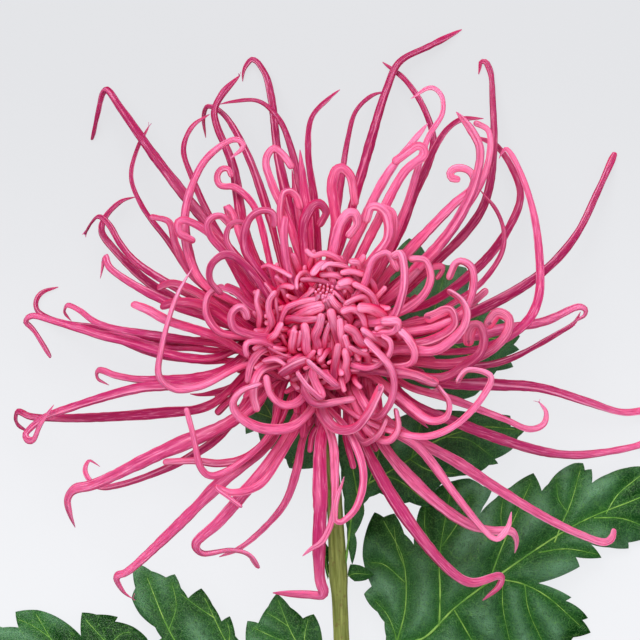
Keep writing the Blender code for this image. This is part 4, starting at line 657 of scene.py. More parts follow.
# Veins of each leaf: width at the start, then points on the drawing plane
VEINS = {
    "leaf_lower_right": (
        (1.3, ((8.5, -100.5), (12, -92), (17, -84), (27, -81), (34.8, -73.5), (44.8, -66), (66, -52.2),
         (81, -46), (92, -41.3))), (0.8, ((20, -83.3), (22.5, -73), (21.8, -61), (17, -51.5))), (0.5,
         ((22.4, -67), (17, -62.5), (14, -62))), (0.45, ((22.2, -63), (20.3, -58), (19.6, -53))), (0.8,
         ((31, -78), (31.2, -69), (31, -61), (32.5, -51), (34, -43))), (0.45, ((31, -61), (27.5, -54),
         (27.5, -47.5))), (0.45, ((31.6, -58), (36, -51.5), (38.5, -46))), (0.75, ((43.5, -67), (46, -60),
         (48.5, -54), (54, -42))), (0.45, ((47.6, -56.5), (46.5, -51), (47, -46))), (0.7, ((60, -57),
         (62, -52), (64, -47.5), (66.5, -39))), (0.4, ((63.4, -49.5), (61, -46), (60.5, -42))), (0.6,
         ((73, -49.8), (76, -45), (82, -40))), (0.75, ((34.8, -74), (38, -79.5), (42, -86.5))), (0.75,
         ((45, -66), (52, -67.4), (58, -70.5), (66.5, -78))), (0.45, ((52.5, -67.6), (53.5, -74),
         (57, -82))), (0.4, ((47, -66.5), (47, -73), (49, -83))), (0.7, ((56, -59.5), (63, -58.6),
         (71, -60))), (0.6, ((70, -50.8), (77, -51), (84, -53.5))), (0.7, ((25, -81.5), (27.5, -85),
         (33, -88.5))), (0.45, ((20.5, -82.8), (19.6, -79), (17.8, -75), (15, -71.8))),
    ),
    "leaf_right": (
        (1.1, ((7, -66), (8.2, -56), (9.4, -48), (11.5, -43.5), (17.2, -39.8), (23.5, -36), (28.5, -32.2),
         (41, -28), (50, -28.5))), (0.6, ((17, -40), (21, -41.5), (27.5, -46.5))), (0.7, ((10.6, -45.5),
         (8.6, -35.5), (7, -29))), (0.6, ((23.5, -36), (28.5, -38.8), (35, -39.6))), (0.6, ((13, -42.5),
         (15.5, -35), (17, -27.5))), (0.5, ((24, -35.7), (25.5, -30), (27, -24.5))), (0.5, ((33, -30.4),
         (38, -31), (44.5, -35.5))), (0.4, ((10.3, -46.3), (11.8, -48), (12.2, -49))), (0.4, ((33.5, -30.2),
         (36, -27), (38, -25))),
    ),
    "leaf_upper_right": (
        (1.1, ((2.8, -24.5), (8, -18.5), (16, -11), (25, -6.5), (38, -5.5), (49.5, -6))), (0.6, ((10, -16.5),
         (16, -15), (23, -17))), (0.6, ((20, -9), (28, -11), (35.5, -18.5))), (0.6, ((32, -5.8), (38, -9.5),
         (42.5, -15.5))), (0.6, ((14, -12.8), (18.5, -2), (21.5, 8), (23.5, 18))), (0.6, ((24, -7), (29, 0),
         (32.5, 11))), (0.5, ((35, -5.7), (39, -2.5), (42, 1.5))),
    ),
    "leaf_lower_left": (
        (1.3, ((6.3, -99), (-5, -95.5), (-16, -91), (-28, -89), (-41, -88), (-66, -87), (-78, -84.5),
         (-87.5, -83.8))), (0.8, ((-16, -91), (-22, -83), (-28, -71))), (0.45, ((-22, -83), (-21.8, -79),
         (-22.5, -77))), (0.5, ((-25.5, -76), (-30, -73), (-34, -70))), (0.8, ((-31, -88.8), (-37, -79),
         (-42.5, -66))), (0.45, ((-37, -79), (-35.2, -73), (-36.3, -67))), (0.7, ((-48, -87.8), (-53, -82),
         (-58, -76.5))), (0.45, ((-52, -83), (-49, -80), (-46.5, -79.5))), (0.6, ((-63, -87.2), (-67, -81),
         (-70.5, -75.2))), (0.45, ((-67, -81), (-71.5, -78), (-75, -76.5))), (0.8, ((-22, -90), (-25, -98),
         (-28, -105.5))), (0.45, ((-24, -95), (-19.5, -97), (-17, -98.5))), (0.8, ((-38, -88), (-42, -98),
         (-46, -107))), (0.45, ((-41, -95), (-38.5, -99), (-38.5, -103))), (0.7, ((-54, -87.5), (-58, -94),
         (-62.5, -101))), (0.6, ((-68, -86.8), (-73, -90), (-76.5, -94))), (0.4, ((-58, -94), (-63, -95),
         (-68, -97))),
    ),
    "leaf_left": (
        (0.7, ((0.8, -31), (-4, -28.5), (-10, -26), (-18, -23))), (0.45, ((-4, -28.5), (-6, -23.5),
         (-6.5, -19.5))), (0.45, ((-6, -27.6), (-10, -30), (-12.5, -32))), (0.45, ((-2.5, -29), (-3.5, -33),
         (-6, -37))), (0.4, ((-11, -25.5), (-13, -22), (-15.5, -20.5))),
    ),
    "leaf_left_small": (
        (0.7, ((4.6, -95), (-1, -88), (-6, -80), (-9.5, -71.5))), (0.5, ((-3, -84.8), (-2.8, -80),
         (-2, -76.5))), (0.5, ((-4, -83.2), (-10, -81), (-15.5, -78.5))), (0.45, ((0, -89.2), (-6, -88.4),
         (-12, -87))), (0.4, ((-7, -78), (-10, -76), (-12.5, -74.5))),
    ),
    "leaflet_right": (
        (0.4, ((7.2, -66), (9.5, -64.8), (13.2, -65))),
    ),
    "leaflet_left": (
        (0.35, ((4.2, -68), (2.8, -64), (2.2, -58.5))),
    ),
}


def head_frame():
    """The head's axis, its right and its up, as unit vectors."""
    axis = np.array((0.0, math.sin(HEAD_LEAN), math.cos(HEAD_LEAN)))
    right = np.array((1.0, 0.0, 0.0))
    return axis, right, np.cross(axis, right)


def on_head(polar, azimuth):
    """The direction from the head's centre at an angle from its axis, and round it."""
    axis, right, up = head_frame()
    around = right * math.cos(azimuth) + up * math.sin(azimuth)
    return axis * math.cos(polar) + around * math.sin(polar)


def head_angles(point):
    """A point's angle from the head's axis, and its angle round it."""
    axis, right, up = head_frame()
    outward = np.array(point) - HEAD_CENTRE
    polar = math.acos(outward @ axis / np.linalg.norm(outward))
    return polar, math.atan2(outward @ up, outward @ right)


def smooth_route(points, step):
    """Points a step apart along a centripetal Catmull-Rom curve through the given points."""
    points = np.array(points, dtype=float)
    ends = (2 * points[0] - points[1], 2 * points[-1] - points[-2])
    points = np.vstack((ends[0], points, ends[1]))
    fine = []
    for p0, p1, p2, p3 in zip(points, points[1:], points[2:], points[3:]):
        knots = np.cumsum([0.0] + [np.linalg.norm(b - a) ** 0.5 for a, b in ((p0, p1), (p1, p2), (p2, p3))])
        for t in np.linspace(knots[1], knots[2], SUBDIVISIONS, endpoint=False):
            a1 = p0 + (p1 - p0) * (t - knots[0]) / (knots[1] - knots[0])
            a2 = p1 + (p2 - p1) * (t - knots[1]) / (knots[2] - knots[1])
            a3 = p2 + (p3 - p2) * (t - knots[2]) / (knots[3] - knots[2])
            b1 = a1 + (a2 - a1) * (t - knots[0]) / (knots[2] - knots[0])
            b2 = a2 + (a3 - a2) * (t - knots[1]) / (knots[3] - knots[1])
            fine.append(b1 + (b2 - b1) * (t - knots[1]) / (knots[2] - knots[1]))
    fine.append(points[-2])
    fine = np.array(fine)
    along = np.concatenate(([0.0], np.cumsum(np.linalg.norm(np.diff(fine, axis=0), axis=1))))
    count = max(4, round(along[-1] / step) + 1)
    places = np.linspace(0.0, along[-1], count)
    return np.column_stack([np.interp(places, along, fine[:, axis]) for axis in range(fine.shape[1])])


def floret_radius(share, widest):
    """A floret's radius at a share of its length: slim at the foot, widest half way, thin at the tip."""
    foot = FOOT_RADIUS + (1 - FOOT_RADIUS) * np.clip(share / WIDEST_AT, 0.0, 1.0)
    tip = TIP_RADIUS + (1 - TIP_RADIUS) * np.sqrt(np.clip((1.0 - share) / TIP_LENGTH, 0.0, 1.0))
    return widest * foot * tip


def button_florets():
    """The short blunt florets of the middle, on a golden-angle spiral, shorter towards the eye."""
    florets = []
    for index in range(BUTTON_COUNT):
        share = math.sqrt((index + 0.6) / BUTTON_COUNT)
        polar = math.radians(BUTTON_SPREAD) * share
        azimuth = index * GOLDEN_ANGLE
        length = BUTTON_SHORT + (BUTTON_LONG - BUTTON_SHORT) * math.sqrt(1.0 - share)
        foot = on_head(polar, azimuth) * (HEAD_RADIUS - FLORET_INSET)
        middle = on_head(polar * BUTTON_BULGE, azimuth) * (HEAD_RADIUS + length * 0.6)
        tip = on_head(polar * BUTTON_LEAN_IN, azimuth + BUTTON_TWIST) * (HEAD_RADIUS + length)
        radius = BUTTON_EYE_RADIUS + (BUTTON_RADIUS - BUTTON_EYE_RADIUS) * share
        florets.append((radius, [HEAD_CENTRE + place for place in (foot, middle, tip)]))
    return florets


def seat_in_rows(florets):
    """The direction at which each floret leaves the head, in even rows from the back to the front."""
    angles = [head_angles(points[0]) for _, points in florets]
    order = sorted(range(len(florets)), key=lambda index: -angles[index][0])
    seats = [None] * len(florets)
    start = 0
    for row_angle in ROW_ANGLES:
        polar = math.radians(row_angle)
        room = int(2 * math.pi * HEAD_RADIUS * math.sin(polar) / ROW_PITCH)
        row = sorted(order[start:start + room], key=lambda index: angles[index][1])
        start += room
        if not row:
            break
        turn = 2 * math.pi / len(row)
        offsets = [angles[index][1] - place * turn for place, index in enumerate(row)]
        first = math.atan2(sum(map(math.sin, offsets)), sum(map(math.cos, offsets)))
        for place, index in enumerate(row):
            seats[index] = on_head(polar, first + place * turn)
    return seats


def settled_routes(florets, obstacles, gap=FLORET_GAP):
    """Smooth routes for all florets, moved apart until each clears the others and what is beneath."""
    routes = [smooth_route(points, SAMPLE_STEP) for _, points in florets]
    radii = [floret_radius(np.linspace(0, 1, len(route)), widest)
             for route, (widest, _) in zip(routes, florets)]
    counts = [len(route) for route in routes]
    starts = np.cumsum([0] + counts)
    fixed = np.array([point for point, _ in obstacles])
    places = np.vstack(routes + [fixed])
    home = places.copy()
    thick = np.concatenate(radii + [np.array([radius for _, radius in obstacles])])
    owner = np.concatenate([np.full(count, index) for index, count in enumerate(counts)]
                           + [np.full(len(fixed), -1)])
    free = np.concatenate([np.clip((np.arange(count) * SAMPLE_STEP - HELD_LENGTH) / LOOSENING_LENGTH, 0, 1)
                           for count in counts] + [np.zeros(len(fixed))])
    for step in range(SETTLE_STEPS):
        if step % STEPS_PER_SEARCH == 0:
            one, two = close_pairs(places, owner, PAIR_REACH)
        apart = places[two] - places[one]
        distance = np.linalg.norm(apart, axis=1)
        short = thick[one] + thick[two] + gap - distance
        hit = short > 0
        push = apart[hit] * (SIDEWAYS, SIDEWAYS, 1.0)
        push += np.where(push[:, 2:] < 0, -1.0, 1.0) * (0.0, 0.0, LIFT)
        push *= (short[hit] / np.linalg.norm(push, axis=1))[:, None] * 0.5
        move = np.zeros_like(places)
        np.add.at(move, one[hit], -push)
        np.add.at(move, two[hit], push)
        longest = np.linalg.norm(move, axis=1)
        move *= (np.minimum(longest, LONGEST_MOVE) / np.maximum(longest, 1e-9))[:, None]
        move += (home - places) * (SPRING if step < SETTLE_STEPS * SPRING_SHARE else 0.0)
        for first, last in zip(starts, starts[1:]):
            part = move[first:last]
            for _ in range(3):
                spread = np.vstack((part[:1], part, part[-1:]))
                part = (spread[:-2] + 2 * spread[1:-1] + spread[2:]) / 4
            move[first:last] = part
        places += move * free[:, None]
        places[:starts[-1], 2] = np.maximum(places[:starts[-1], 2], thick[:starts[-1]])
    return [places[first:last] for first, last in zip(starts, starts[1:])], radii


def close_pairs(places, owner, reach):
    """Pairs of samples closer than a reach, leaving out near neighbours along one floret."""
    tree = kdtree.KDTree(len(places))
    for index, place in enumerate(places):
        tree.insert(place, index)
    tree.balance()
    pairs = []
    for index, place in enumerate(places):
        if owner[index] < 0:
            continue
        for _, other, _ in tree.find_range(place, reach):
            same = owner[other] == owner[index]
            if (other > index or owner[other] < 0) and not (same and other - index <= SELF_SKIP):
                pairs.append((index, other))
    found = np.array(pairs)
    return found[:, 0], found[:, 1]


def to_part(point):
    """A point of the drawing plane's frame in metres, in the part's frame."""
    return Vector((point[0] - PART_ORIGIN[0], point[1] - PART_ORIGIN[1], point[2])) * MM


def refined(points, step):
    """Points a step apart along a smooth curve through closely spaced points, and how far along each is."""
    spans = np.linalg.norm(np.diff(points, axis=0), axis=1)
    along = np.concatenate(([0.0], np.cumsum(spans)))
    slopes = np.gradient(points, along, axis=0)
    places = np.linspace(0.0, along[-1], max(8, round(along[-1] / step) + 1))
    index = np.clip(np.searchsorted(along, places, side="right") - 1, 0, len(spans) - 1)
    span = spans[index][:, None]
    t = (places - along[index])[:, None] / span
    near = (2 * t ** 3 - 3 * t ** 2 + 1) * points[index] + (t ** 3 - 2 * t ** 2 + t) * span * slopes[index]
    far = (3 * t ** 2 - 2 * t ** 3) * points[index + 1] + (t ** 3 - t ** 2) * span * slopes[index + 1]
    return near + far, places


def carried_frames(route, towards):
    """At each point the tangent, an inner side and the direction across, carried along without twisting."""
    tangents = np.gradient(route, axis=0)
    tangents /= np.linalg.norm(tangents, axis=1)[:, None]
    inner = np.array(towards, dtype=float)
    inners = []
    for tangent in tangents:
        inner = inner - (inner @ tangent) * tangent
        inner /= np.linalg.norm(inner)
        inners.append(inner)
    inners = np.array(inners)
    return tangents, inners, np.cross(tangents, inners)


def wobble(places, spacing, random):
    """Smooth random values between -1 and 1 along a length, with a knot every few millimetres."""
    knots = np.arange(0.0, places[-1] + 2 * spacing, spacing)
    return np.interp(places, knots, random.uniform(-1, 1, len(knots)))


def uneven(places, wobbles, random):
    """A tube's width along it as a share of its radius: 1 plus wobbles, each with a spacing and a depth."""
    return 1 + sum(depth * wobble(places, spacing, random) for spacing, depth in wobbles)


def tube_rings(line, inners, across, inward, sideways):
    """Rings of points round a line, each as far inward and sideways as the two tables say."""
    return line[:, None] + inward[..., None] * inners[:, None] + sideways[..., None] * across[:, None]


def around(count):
    """Evenly spaced angles round a tube."""
    return np.linspace(0, 2 * math.pi, count, endpoint=False)


def skin(rings, open_start=False):
    """Vertices and faces of a tube through rings of points, whose closed ends have a centre point."""
    count, sides = rings.shape[:2]
    vertices = rings.reshape(-1, 3)
    ring = np.arange(sides)
    following = (ring + 1) % sides
    faces = []
    for low in range(0, (count - 1) * sides, sides):
        high = low + sides
        faces += np.column_stack((low + ring, low + following, high + following, high + ring)).tolist()
    if not open_start:
        faces += [(one, other, len(vertices)) for one, other in zip(following, ring)]
        vertices = np.vstack((vertices, rings[0].mean(axis=0)))
    last = (count - 1) * sides
    faces += [(last + one, last + other, len(vertices)) for one, other in zip(ring, following)]
    return np.vstack((vertices, rings[-1].mean(axis=0))), faces


def flow_along(angles, distances, ends):
    """Coordinates round and along a tube, for streaks that follow it, with its end points last."""
    flow = np.column_stack((np.tile(np.cos(angles), len(distances)), np.tile(np.sin(angles), len(distances)),
                            np.repeat(distances, len(angles))))
    return np.vstack((flow, *[flow[-1:]] * ends))


def joined(shapes):
    """Several shapes as one, with the same named values at their vertices."""
    start = 0
    faces = []
    for shape in shapes:
        faces += [tuple(start + corner for corner in face) for face in shape["faces"]]
        start += len(shape["vertices"])
    whole = {key: np.concatenate([shape[key] for shape in shapes]) for key in shapes[0] if key != "faces"}
    whole["faces"] = faces
    return whole


def blunt_radius(share):
    """An inner floret's radius as a share of its widest: slimmer at the foot, full up to its blunt tip."""
    foot = INNER_FOOT + (1 - INNER_FOOT) * np.clip(share / 0.5, 0, 1)
    return foot - INNER_TIP * np.clip((share - 0.75) / 0.25, 0, 1)


def outer_radius(share, widest, length, pointed):
    """An outer floret's radius: slim at the foot, thinning slowly, with a pointed or a blunt end."""
    foot = FOOT_RADIUS + (1 - FOOT_RADIUS) * np.clip(share / WIDEST_AT, 0, 1)
    left = (1 - share) * length
    if pointed:
        tip = POINTED_RADIUS + (1 - POINTED_RADIUS) * np.clip(left / POINTED_LENGTH, 0, 1) ** 0.75
    else:
        tip = BLUNT_RADIUS + (1 - BLUNT_RADIUS) * np.sqrt(np.clip(left / BLUNT_LENGTH, 0, 1))
    return widest * OUTER_WIDTH * foot * np.interp(share, THINNING_SHARES, (1, 1 - OUTER_THINNING)) * tip


def frayed(shape, route, thick, tone, seed, towards):
    """A floret's shape with two or three little points that stand out from its end."""
    random = np.random.default_rng(seed + FRAYED_SEED)
    onward = route[-1] - route[-2]
    onward /= np.linalg.norm(onward)
    shapes = [shape]
    for number in range(random.integers(*FRAYED_COUNTS)):
        aside = random.normal(0, FRAYED_SPREAD, 3)
        way = onward + aside
        way /= np.linalg.norm(way)
        length = random.uniform(*FRAYED_LENGTHS)
        steps = np.linspace(0, 1, FRAYED_POINTS)[:, None]
        points = route[-1] - onward * FRAYED_OVERLAP + way * length * steps
        points += aside * FRAYED_CURL * steps ** 2
        radii = np.linspace(min(FRAYED_RADIUS, thick * FRAYED_SHARE), FRAYED_TIP, FRAYED_POINTS)
        shapes.append(floret_shape(points, radii, tone, seed + FRAYED_SEED + number, towards,
                                   depth=OUTER_PAINTED_SHADE, step=FRAYED_STEP, sides=FRAYED_SIDES))
    return joined(shapes)


def floret_shape(route, radii, tone, seed, towards, hollow=False, flank_shade=0.0, depth=1.0, step=FLORET_STEP,
                 sides=FLORET_SIDES):
    """A grooved floret along a route, which may be hollow towards its tip on its inner side."""
    random = np.random.default_rng(seed)
    places, along = refined(np.column_stack((route, radii)), step)
    line, thick = places[:, :3], places[:, 3]
    tangents, inners, across = carried_frames(line, towards)
    angles = around(sides)
    phase = random.uniform(0, 2 * math.pi)
    twist = random.uniform(-TWIST, TWIST)
    reach = (thick * uneven(along, FLORET_WOBBLES, random))[:, None]
    turned = angles + (twist * along + TWIST_WOBBLE * wobble(along, TWIST_SPACING, random))[:, None]
    waves = sum(random.uniform(*RIDGE_WEIGHTS) * np.cos(count * turned + phase * count)
                for count in RIDGE_COUNTS)
    opening = np.clip((along - (along[-1] - HOLLOW_LENGTH)) / HOLLOW_LENGTH, 0, 1)[:, None] * hollow
    dent = HOLLOW_DEPTH * opening * np.clip(np.cos(angles), 0, 1) ** HOLLOW_POWER
    reach = reach * (1 + RIDGE_DEPTH * waves)
    inward = reach * np.cos(angles) * random.uniform(*FLATNESSES) * (1 - dent * HOLLOW_DENT)
    rings = tube_rings(line, inners, across, inward, reach * np.sin(angles) * (1 + HOLLOW_SPREAD * opening))
    caps = [line[-1] + (rings[-1] - line[-1]) * math.cos(angle) + tangents[-1] * thick[-1] * math.sin(angle)
            for angle in CAP_ANGLES]
    rings = np.concatenate((rings, caps))
    rings[..., 2] = np.maximum(rings[..., 2], FLOOR_GAP)
    vertices, faces = skin(rings, True)

    def with_caps(values):
        return np.concatenate((values, np.repeat(values[-1:], len(caps), axis=0)))

    # Painted shade as crimson: on the flanks that face away from above, and deep in the head below the
    # canopy
    outward = rings - with_caps(line)[:, None]
    upward = outward[..., 2] / np.linalg.norm(outward, axis=2)
    flanks = flank_shade * np.clip((FLANK_SHADE_START - upward) / FLANK_SHADE_WIDTH, 0, 1)
    stretch = np.append(along, along[-1] + np.arange(1, len(caps) + 1) * CAP_STRETCH)
    return {"vertices": vertices, "faces": faces,
            "share": np.append(np.repeat(with_caps(along / along[-1]), sides), 1.0),
            "ridge": np.append(with_caps(waves).ravel(), 0.0),
            "hollow": np.append(with_caps(dent).ravel(), 0.0),
            "flow": flow_along(angles, stretch * STREAK_LENGTH + seed * STREAK_SHIFT, 1),
            "tone": np.full(len(vertices), float(tone)),
            "shade": np.full(len(vertices), random.uniform()),
            "depth": np.maximum(depth * depth_below_canopy(vertices), np.append(flanks.ravel(), 0.0))}


def depth_below_canopy(places):
    """How deep in the head places are, from 0 on its outside to 1 far in, which sets the painted shade
    there.
    """
    away = np.hypot(places[:, 0] - DOME_TOP[0], places[:, 1] - DOME_TOP[1])
    below = (DOME_TOP[2] - CANOPY_SLOPE * away - CANOPY_SKIN - places[:, 2]) / CANOPY_DEPTH
    return np.clip(below, 0, 1) * np.clip((CANOPY_REACH - away) / CANOPY_EDGE, 0, 1)


def outer_shape(place, route, radius, seed, axis):
    """The shape of a named outer floret."""
    tone = FRONT_TONES_AND_LIGHT.get(place, 0.0)
    length = (len(route) - 1) * SAMPLE_STEP
    share = np.linspace(0, 1, len(route))
    thick = outer_radius(share, radius * WIDTHS.get(place, 1.0), length, place not in BLUNT)
    shape = floret_shape(route, thick, tone, seed, axis, True, OUTER_FLANK_SHADE, OUTER_PAINTED_SHADE)
    # Dark florets are fully shaded, partly as painted shade; the others get a random, lighter shade
    shape["shade"] = np.ones(len(shape["shade"])) if place in DARK_AND_SHADED else shape["shade"] * LIGHT_SHADE
    if place in HALF_DARK_AND_SHADED:
        shape["shade"] = HALF_DARK_SHADE + (1 - HALF_DARK_SHADE) * shape["shade"]
    return frayed(shape, route, thick[-1], tone, seed, axis) if place in FRAYED else shape


def inner_shape(route, radius, tone, seed, axis, opened):
    """The shape of a hooked or a button floret, whose end is round, or hollow and frayed."""
    thick = radius * blunt_radius(np.linspace(0, 1, len(route)))
    shape = floret_shape(route, thick, tone, seed, axis, opened, HOOK_FLANK_SHADE, OUTER_PAINTED_SHADE)
    return frayed(shape, route, thick[-1], tone, seed, axis) if opened else shape


def receptacle_shape():
    """The round bed that the florets stand on."""
    turns = around(48)
    arc = np.linspace(0.06, math.pi - 0.06, 26)
    rings = np.array([[HEAD_CENTRE + on_head(polar, turn) * HEAD_RADIUS
                       * (1 + BED_BUMP * math.sin(9 * turn) * math.sin(7 * polar)) for turn in turns]
                      for polar in arc])
    vertices, faces = skin(rings)
    size = len(vertices)
    shape = {name: np.zeros(size) for name in ("share", "ridge", "hollow", "tone")}
    return shape | {"vertices": vertices, "faces": faces, "flow": vertices * 0.3,
                    "shade": np.full(size, 0.5), "depth": np.ones(size)}


def between_florets(routes):
    """Short florets half way between neighbours, which close the gaps around the head."""
    turns = [head_angles(route[2])[1] for route in routes]
    order = sorted(range(len(routes)), key=lambda index: turns[index])
    random = np.random.default_rng(PLACING_SEED)
    florets = []
    for drop, (one, other) in product(BETWEEN_DROPS, zip(order, order[1:] + order[:1])):
        size = round(min(len(routes[one]), len(routes[other])) * random.uniform(*BETWEEN_LENGTHS))
        weight = random.uniform(*BETWEEN_WEIGHTS)
        places = routes[one][:size] * weight + routes[other][:size] * (1 - weight)
        places = places - (0.0, 0.0, drop) * np.linspace(0, 1, size)[:, None]
        florets.append((BETWEEN_RADIUS, [*places[:-2:BETWEEN_SKIP], places[-1]]))
    return florets


def on_dome(x, y, rise):
    """The place at (x, y) of the drawing plane on the dome that the middle florets end at."""
    away = math.hypot(x - DOME_TOP[0], y - DOME_TOP[1])
    return np.array((x, y, DOME_TOP[2] - DOME_SLOPE * away + rise))


def on_bed(place, rise):
    """The place on the bed of the head that is under another place, or a rise above it."""
    outward = place - HEAD_CENTRE
    return HEAD_CENTRE + outward / np.linalg.norm(outward) * (HEAD_RADIUS + rise)


def spiral(place, width, count):
    """Places on a golden-angle spiral round a place, and how far out each is."""
    for index in range(count):
        reach = width * math.sqrt((index + 0.5) / count)
        turn = index * GOLDEN_ANGLE
        yield place[0] + reach * math.cos(turn), place[1] + reach * math.sin(turn), reach


def centre_florets():
    """The middle florets as radii, tones and points, each from a foot on the bed."""
    florets = []
    for radius, tone, rise, points in CENTRE:
        drops = -CENTRE_ROOT_DROP * np.linspace(1.0, 0.0, len(points)) ** 2
        places = [on_dome(x, y, rise + drop) for (x, y), drop in zip(points, drops)]
        florets.append((radius * CENTRE_WIDTH, tone, [on_bed(places[0], -FLORET_INSET), *places]))
    random = np.random.default_rng(FILL_SEED)
    for x, y, _ in spiral(FILL_PLACE, FILL_WIDTH, FILL_COUNT):
        tip = on_dome(x, y, random.uniform(*FILL_DROPS))
        foot = on_bed(tip, FILL_FOOT)
        aside = np.append(random.normal(0, FILL_LEAN, 2), 0.0)
        florets.append((random.uniform(*FILL_RADII), random.uniform(*FILL_TONES),
                        [foot, foot + (tip - foot) * 0.6 - aside * 0.4, tip + aside]))
    for x, y, reach in spiral(EYE_PLACE, EYE_WIDTH, EYE_COUNT):
        tip = on_dome(x, y, EYE_RISE - EYE_SLOPE * reach)
        foot = on_bed(tip, EYE_FOOT)
        florets.append((EYE_FLORET_RADIUS, 1.0, [foot, foot + (tip - foot) * 0.6, tip]))
    return florets


def thin_plate(knots):
    """The surface through height points, as a function of many places at once."""
    knots = np.array(knots, dtype=float)
    size = len(knots)

    def kernel(distance):
        return np.where(distance > 0, distance ** 2 * np.log(np.maximum(distance, 1e-9)), 0.0)

    spans = np.linalg.norm(knots[:, None, :2] - knots[None, :, :2], axis=2)
    plane = np.column_stack((np.ones(size), knots[:, :2]))
    system = np.block([[kernel(spans), plane], [plane.T, np.zeros((3, 3))]])
    weights = np.linalg.solve(system, np.concatenate((knots[:, 2], np.zeros(3))))

    def height(places):
        distance = np.linalg.norm(places[:, None, :2] - knots[None, :, :2], axis=2)
        return kernel(distance) @ weights[:size] + weights[size] + places[:, :2] @ weights[size + 1:]

    return height


def rounded_rim(outline, step):
    """An outline with a point every step or so, and its edges bowed outwards between the teeth."""
    corners = np.array(outline, dtype=float)
    following = np.roll(corners, -1, axis=0)
    turning = np.sum(corners[:, 0] * following[:, 1] - corners[:, 1] * following[:, 0])
    onward = following - corners
    onward /= np.linalg.norm(onward, axis=1)[:, None]
    before = np.roll(onward, 1, axis=0)
    bend = (before[:, 0] * onward[:, 1] - before[:, 1] * onward[:, 0]) * np.sign(turning)
    corners = corners + (before - onward) * (TOOTH_POINT * np.clip(bend, 0, 1))[:, None]
    following = np.roll(corners, -1, axis=0)
    rim = []
    for one, other in zip(corners, following):
        span = other - one
        length = np.linalg.norm(span)
        out = np.array((span[1], -span[0])) * np.sign(turning) * LEAF_BOW
        for t in np.linspace(0, 1, max(2, round(length / step)), endpoint=False):
            rim.append(one + span * t + out * 4 * t * (1 - t))
    return np.array(rim)


def grid_inside(rim, pitch, shift):
    """A staggered grid of places inside a rim, shifted right and up by shares of its pitch."""
    low, high = rim.min(axis=0), rim.max(axis=0)
    rows = []
    for row, y in enumerate(np.arange(low[1] + pitch * shift[1], high[1], pitch * 0.866)):
        xs = np.arange(low[0] + pitch * (shift[0] + 0.5 * (row % 2)), high[0], pitch)
        rows.append(np.column_stack((xs, np.full(len(xs), y))))
    grid = np.vstack(rows)
    return grid[all_inside(rim, grid)]


def all_inside(rim, places):
    """Which places are inside a rim."""
    result = np.zeros(len(places), dtype=bool)
    x, y = places[:, 0], places[:, 1]
    for (x1, y1), (x2, y2) in zip(rim, np.roll(rim, -1, axis=0)):
        if y1 != y2:
            result ^= ((y1 > y) != (y2 > y)) & (x < x1 + (x2 - x1) * (y - y1) / (y2 - y1))
    return result


def away_from_line(places, line):
    """Each place's distance from the nearest part of a line of points."""
    nearest = np.full(len(places), 1e9)
    for one, other in zip(line, line[1:]):
        span = other - one
        share = np.clip((places - one) @ span / (span @ span), 0, 1)
        nearest = np.minimum(nearest, np.linalg.norm(places - one - share[:, None] * span, axis=1))
    return nearest


def ripple(places, seed):
    """Gentle uneven waves over the drawing plane, between about -1 and 1."""
    random = np.random.default_rng(seed)
    total = np.zeros(len(places))
    for _ in range(WAVE_COUNT):
        wave = random.normal(0, 1, 2)
        wave *= 2 * math.pi / random.uniform(*WAVE_LENGTHS) / np.linalg.norm(wave)
        total += np.sin(places @ wave + random.uniform(0, 2 * math.pi))
    return total / WAVE_SUM


def leaf_obstacles():
    """Points on every blade, which the florets keep away from."""
    found = []
    for outline, heights in LEAVES.values():
        grid = grid_inside(np.array(outline, dtype=float), LEAF_PROBE, (0.25, 0.5))
        levels = thin_plate(heights)(grid)
        found += [((*place, level), LEAF_THICKNESS) for place, level in zip(grid, levels)]
    return found


def swelling(reach):
    """How far a blade swells between its veins, from 0 on a vein to 1 away from it."""
    return 1 - np.exp(-(reach / PUCKER_REACH) ** 2)


def blade_shape(rim, lines, veins, blade_height, sheen):
    """A blade inside its rim, with top, underside and edge."""
    grid = grid_inside(rim, LEAF_STEP, (0.0, 0.0))
    grid = grid[away_from_line(grid, np.vstack((rim, rim[:1]))) > LEAF_STEP * LEAF_RIM_CLEARANCE]
    edges = [(index, (index + 1) % len(rim)) for index in range(len(rim))]
    filled = geometry.delaunay_2d_cdt([Vector(place) for place in (*rim, *grid)], edges, [], 1, 1e-4)
    places = np.array([tuple(place) for place in filled[0]])
    reach = np.min([away_from_line(places, line) / (FURROW_REACH + FURROW_WIDENING * width)
                    for line, (width, _) in zip(lines, veins)], axis=0)
    level = blade_height(places, reach)
    top = np.column_stack((places, level + LEAF_THIN / 2))
    under = np.column_stack((places, level - LEAF_THIN / 2))
    count = len(places)
    faces = [tuple(face) for face in filled[2]]
    if geometry.normal([Vector(top[corner]) for corner in faces[0]]).z < 0:
        faces = [face[::-1] for face in faces]
    used = dict.fromkeys(edge for face in faces for edge in zip(face, face[1:] + face[:1]))
    sides = [(other, one, one + count, other + count) for one, other in used if (other, one) not in used]
    faces += [tuple(corner + count for corner in face[::-1]) for face in faces] + sides
    # Values for the vein glow, and for the painted sheen on the swells and on the whole blade
    return {"vertices": np.vstack((top, under)), "faces": faces,
            "vein": np.tile(np.exp(-(reach / VEIN_GLOW) ** 2), 2), "sheen": np.full(2 * count, sheen),
            "swell": np.tile(swelling(reach), 2)}


